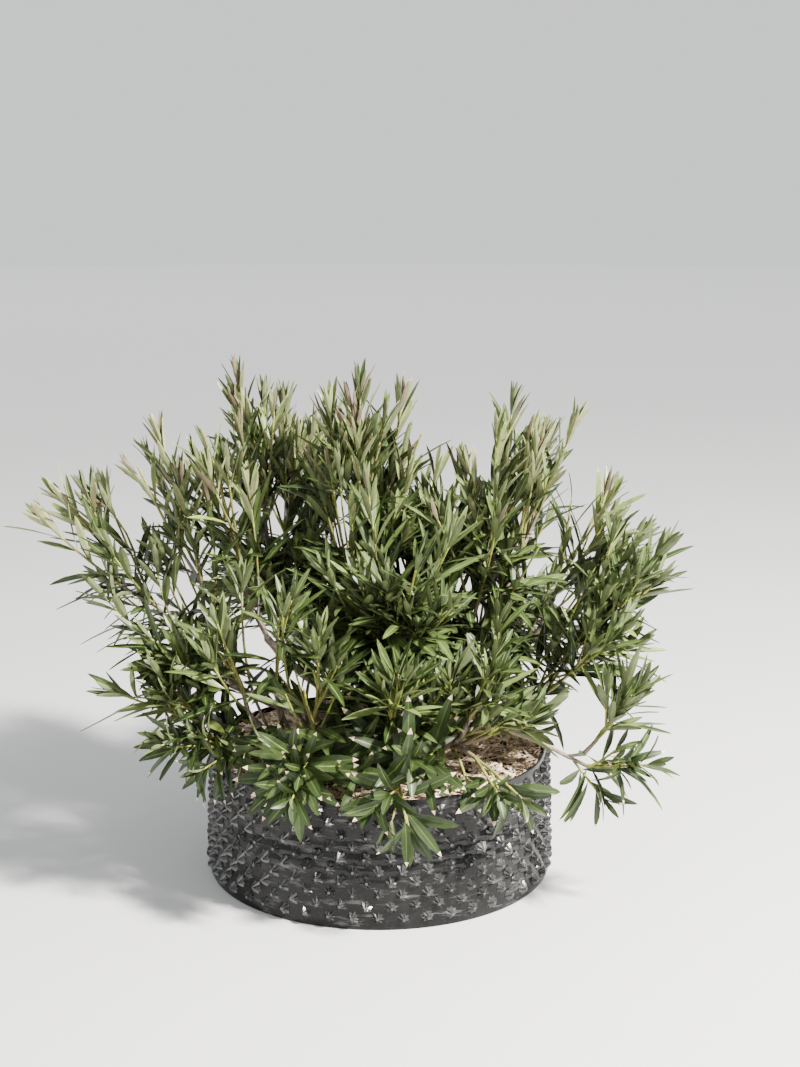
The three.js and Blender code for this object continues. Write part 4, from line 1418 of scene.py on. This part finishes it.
def twig_part(shoot):
    """One shoot as arrays, swollen under each whorl. Kinds: 0 bark, 1 green, 2 young, 3 node."""
    length = shoot.curve.length
    nodes = np.array(sorted(length - d for d in shoot.whorls if length - d > 0.004))
    runs = [0.0]
    for node in nodes:
        if node - TWIG["node"] > runs[-1] + 0.001:
            runs.append(node - TWIG["node"])
        if node > runs[-1] + 0.0008:
            runs.append(node)
    runs.append(length + TWIG["past_end"])
    runs = np.array(runs)
    rings = len(runs) - 1
    shape = tube_template(6, rings)
    shares = shoot.curve.share_at(np.minimum(runs, length))
    centres, tangents = shoot.curve.at(shares), shoot.curve.tangent(shares)
    centres[-1] += tangents[-1] * TWIG["past_end"]
    radius = lerp(shoot.radii[0], shoot.radii[1], runs / runs[-1])
    at_node = np.array([len(nodes) > 0 and np.abs(nodes - run).min() < 1e-6 for run in runs])
    radius = radius * np.where(at_node, TWIG["swollen"], 1.0)
    radius[-1] *= 0.5
    ring = np.round(shape.points[:, 2]).astype(int)
    points = tube_points(shape, centres, tangents, radius[ring])
    down = length - runs[:-1]
    kinds = np.where(down < TWIG["young"], 2, np.where(down < TWIG["green"], 1, 0))
    if shoot.kind == "stem":
        kinds = np.where(down < TWIG["stem_green"], 1, 0)
    short = np.diff(runs) < TWIG["node"] + 0.0003
    kinds = np.where(short & (kinds > 0), 3, kinds)
    return points, shape.loops, shape.totals, kinds[np.clip(shape.parts, 0, rings - 1)]


class OLEANDER_OT_twigs(bpy.types.Operator):
    """Makes the stems, leaders and side shoots that carry the leaves"""

    bl_idname = "oleander.twigs"
    bl_label = "Twigs"

    def execute(self, context):
        sizes = context.scene.oleander.bark
        shoots = dressed(context)[0]
        barks = (sizes.bark, sizes.bark_dark, sizes.bark_pale)
        finishes = [
            bark_finish("twig_bark", *(shade(c, TWIG["shade"]) for c in barks)),
            leaf_finish("twig_green", sizes.green[:], 0.6),
            leaf_finish("twig_young", sizes.young[:], 0.5),
            leaf_finish("twig_node", sizes.node[:], 0.6),
        ]
        points, loops, totals, kinds = joined([twig_part(shoot) for shoot in shoots])
        piece = mesh_object("twigs", points, loops, totals, finishes, kinds, crease=60)
        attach(piece, "root")
        return {"FINISHED"}


# ---- Leaves as pieces ----------------------------------------------------------------------------------

FINISHES = (
    "deep", "green", "olive", "bright", "young", "glowing",
    "under_grey", "under_pale", "under_young", "under_red", "rib", "rib_red", "dry",
)
TIP_AGE = 3


def leaf_colours(leaf, rosette):
    """The finishes of a leaf's five parts, dealt out by spray: names in FINISHES."""
    spray, chance, age = leaf["spray"], leaf["chance"], leaf["age"]
    if rosette:
        upper = "bright" if chance < 0.62 else "green"
        tip = "dry" if chance < 0.55 and age > 0 else upper
        return upper, "olive" if chance < 0.75 else "rib", "under_pale", "rib", tip
    # Older leaves on the inner shoots are dealt paler colours: painted light that lifts the shade inside the
    # crown.
    if leaf["inner"] and age > 1:
        return "olive" if chance < 0.75 else "green", "rib", "under_pale", "rib", "olive"
    if age <= TIP_AGE and leaf["erect"] < 0.35 + 0.3 * spray:
        upper = "olive" if chance < 0.35 else "bright" if chance < 0.8 else "young"
        return upper, "rib", "under_pale", "rib", upper
    if age <= TIP_AGE:
        upper = "young" if spray + 0.3 * chance < 0.62 else "olive"
        under = "under_red" if chance > 0.82 else "under_young" if spray < 0.55 else "under_pale"
        rib = "rib_red" if chance < 0.5 else "rib"
        return upper, "rib", under, rib, under
    # A few leaves, dealt at random, take painted sunlight.
    if chance > 0.93:
        return "glowing", "rib", "under_young", "rib", "glowing"
    tone = spray * 0.6 + chance * 0.4
    upper = "deep" if tone < 0.36 else "green" if tone < 0.70 else "olive"
    under = "under_grey" if tone < 0.58 else "under_pale"
    tip = "dry" if chance > 0.95 else upper
    return upper, "rib" if chance < 0.7 else upper, under, "rib", tip


# What leaves keep clear of, as distances from the pot's axis and heights.
WALL = {"inside": 0.300, "outside": 0.346, "top": 0.249}
OVER_MULCH, OVER_FLOOR = 0.250, 0.012
BOX_SLACK = (0.027, 0.008)  # how far they may pass the solids' box: share of its side, and metres


def room_left(points):
    """Which leaves stay off the pot and the mulch, above the floor and in the solids' box."""
    low, high = np.array(CAD_BOX[0]), np.array(CAD_BOX[1])
    slack = BOX_SLACK[0] * (high - low) + BOX_SLACK[1]
    inside = ((points > low - slack) & (points < high + slack)).all(axis=(1, 2))
    out = np.hypot(points[..., 0], points[..., 1])
    z = points[..., 2]
    in_wall = (out > WALL["inside"]) & (out < WALL["outside"]) & (z < WALL["top"])
    in_mulch = (out <= WALL["inside"]) & (z < OVER_MULCH)
    on_floor = z < OVER_FLOOR
    return inside & ~(in_wall | in_mulch | on_floor).any(axis=1)


def hides_bare_limb(points, boughs):
    """Which leaves hang right in front of the limbs that show bare."""
    limbs = [b.curve.at(np.linspace(0.30, 1.0, 24)) for b in boughs if b.name in BARE_BOUGHS]
    apart = points.mean(axis=1)[:, None] - np.concatenate(limbs)[None]
    ahead = apart @ TO_FRONT
    aside = np.linalg.norm(apart - ahead[..., None] * TO_FRONT, axis=-1)
    return ((ahead > 0) & (aside < BARE_GAP)).any(axis=1)


class OLEANDER_OT_leaves(bpy.types.Operator):
    """Makes the leaves, side by side of the crown"""

    bl_idname = "oleander.leaves"
    bl_label = "Leaves"

    def execute(self, context):
        sizes = context.scene.oleander.leaf
        shoots, rows = dressed(context)
        shape = leaf_template()
        fields = ("root", "along", "across", "upper", "length", "width", "curl", "fold", "twist")
        leaves = {field: np.array([row[field] for row in rows]) for field in fields}
        points = bent_leaves(shape, leaves)
        kept = room_left(points) & ~hides_bare_limb(points, grown_shrub()[0])
        kept &= ~in_clearing(points, CLEAR_OF_LEAVES).any(axis=1)
        colours = np.array([
            [FINISHES.index(c) for c in leaf_colours(row, shoots[row["shoot"]].mass.rosette)] for row in rows
        ])
        groups = np.array([GROUPS.index(shoots[row["shoot"]].mass.group()) for row in rows])
        finishes = [leaf_finish("leaf_" + name, getattr(sizes, name)[:]) for name in FINISHES]
        masses = grown_shrub()[1]
        for number, group in enumerate(GROUPS):
            chosen = kept & (groups == number)
            p, l, t = copies(shape, points[chosen])
            kinds = colours[chosen][:, shape.parts].ravel()
            piece = mesh_object("leaves_" + group, p, l, t, finishes, kinds, crease=50)
            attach(piece, "root")
            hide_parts(*["foliage_" + m.name for m in masses if m.group() == group])
        return {"FINISHED"}


# ---- Stage -----------------------------------------------------------------------------------------


def area_light(name, place, target, size, power, colour=(1, 1, 1)):
    data = bpy.data.lights.new(name, "AREA")
    data.shape = "DISK"
    data.size = size
    data.energy = power
    data.color = colour
    light = bpy.data.objects.new(name, data)
    light.location = place
    light.rotation_euler = (Vector(target) - Vector(place)).to_track_quat("-Z", "Y").to_euler()
    bpy.context.scene.collection.objects.link(light)


class OLEANDER_OT_stage(bpy.types.Operator):
    """Sets the plain floor, the soft lights and the camera"""

    bl_idname = "oleander.stage"
    bl_label = "Stage"

    def execute(self, context):
        sizes = context.scene.oleander.stage
        bm = bmesh.new()
        bmesh.ops.create_circle(bm, cap_ends=True, segments=96, radius=FLOOR_RADIUS)
        bmesh.ops.translate(bm, verts=bm.verts[:], vec=(0, 0, -FLOOR_DROP))
        finish = Finish("floor")
        away = finish.node("ShaderNodeVectorMath", {"operation": "LENGTH"}, {0: finish.place()}, "Value")
        tone = finish.mix(sizes.floor[:], sizes.far_floor[:], away.clamped(2.5, 12.0))
        floor = bmesh_object("floor", bm, finish.surface(Base_Color=tone, Roughness=0.9))
        middle = (0.0, 0.0, 0.5)
        area_light("key", (2.8, -1.9, 3.8), middle, 0.60, sizes.key, (1.0, 0.97, 0.92))
        area_light("fill", (-2.6, -3.6, 2.0), middle, 3.0, sizes.fill, (0.94, 0.97, 1.0))
        world = bpy.data.worlds.new("surround")
        world.use_nodes = True
        back = world.node_tree.nodes["Background"]
        back.inputs["Color"].default_value = (0.97, 0.985, 1.0, 1.0)
        back.inputs["Strength"].default_value = sizes.sky
        context.scene.world = world
        data = bpy.data.cameras.new("camera")
        data.lens = sizes.lens
        data.sensor_width = 36.0
        camera = bpy.data.objects.new("camera", data)
        camera.location = EYE
        camera.rotation_euler = (math.radians(90 - CAMERA_DOWN), 0.0, 0.0)
        context.scene.collection.objects.link(camera)
        context.scene.camera = camera
        return {"FINISHED"}


class OLEANDER_PT_sidebar(bpy.types.Panel):
    """Lists the pieces of the oleander and their sizes"""

    bl_idname = "OLEANDER_PT_sidebar"
    bl_label = "Potted oleander"
    bl_space_type = "VIEW_3D"
    bl_region_type = "UI"
    bl_category = "Oleander"

    def draw(self, context):
        for operator in OPERATORS:
            self.layout.operator(operator.bl_idname)
        for name, group in SIZES.items():
            box = self.layout.box()
            box.label(text=name.capitalize())
            for size in group.__annotations__:
                box.prop(getattr(context.scene.oleander, name), size)


OPERATORS = (
    OLEANDER_OT_stage,
    OLEANDER_OT_pot,
    OLEANDER_OT_mulch,
    OLEANDER_OT_bark,
    OLEANDER_OT_twigs,
    OLEANDER_OT_leaves,
)
CLASSES = (*SIZES.values(), OleanderSizes, *OPERATORS, OLEANDER_PT_sidebar)


def register():
    for cls in CLASSES:
        bpy.utils.register_class(cls)
    bpy.types.Scene.oleander = bpy.props.PointerProperty(type=OleanderSizes)


def unregister():
    del bpy.types.Scene.oleander
    for cls in reversed(CLASSES):
        bpy.utils.unregister_class(cls)


def main():
    register()
    bpy.ops.oleander.stage()
    bpy.ops.oleander.pot()
    bpy.ops.oleander.mulch()
    bpy.ops.oleander.bark()
    bpy.ops.oleander.twigs()
    bpy.ops.oleander.leaves()


if __name__ == "__main__":
    main()
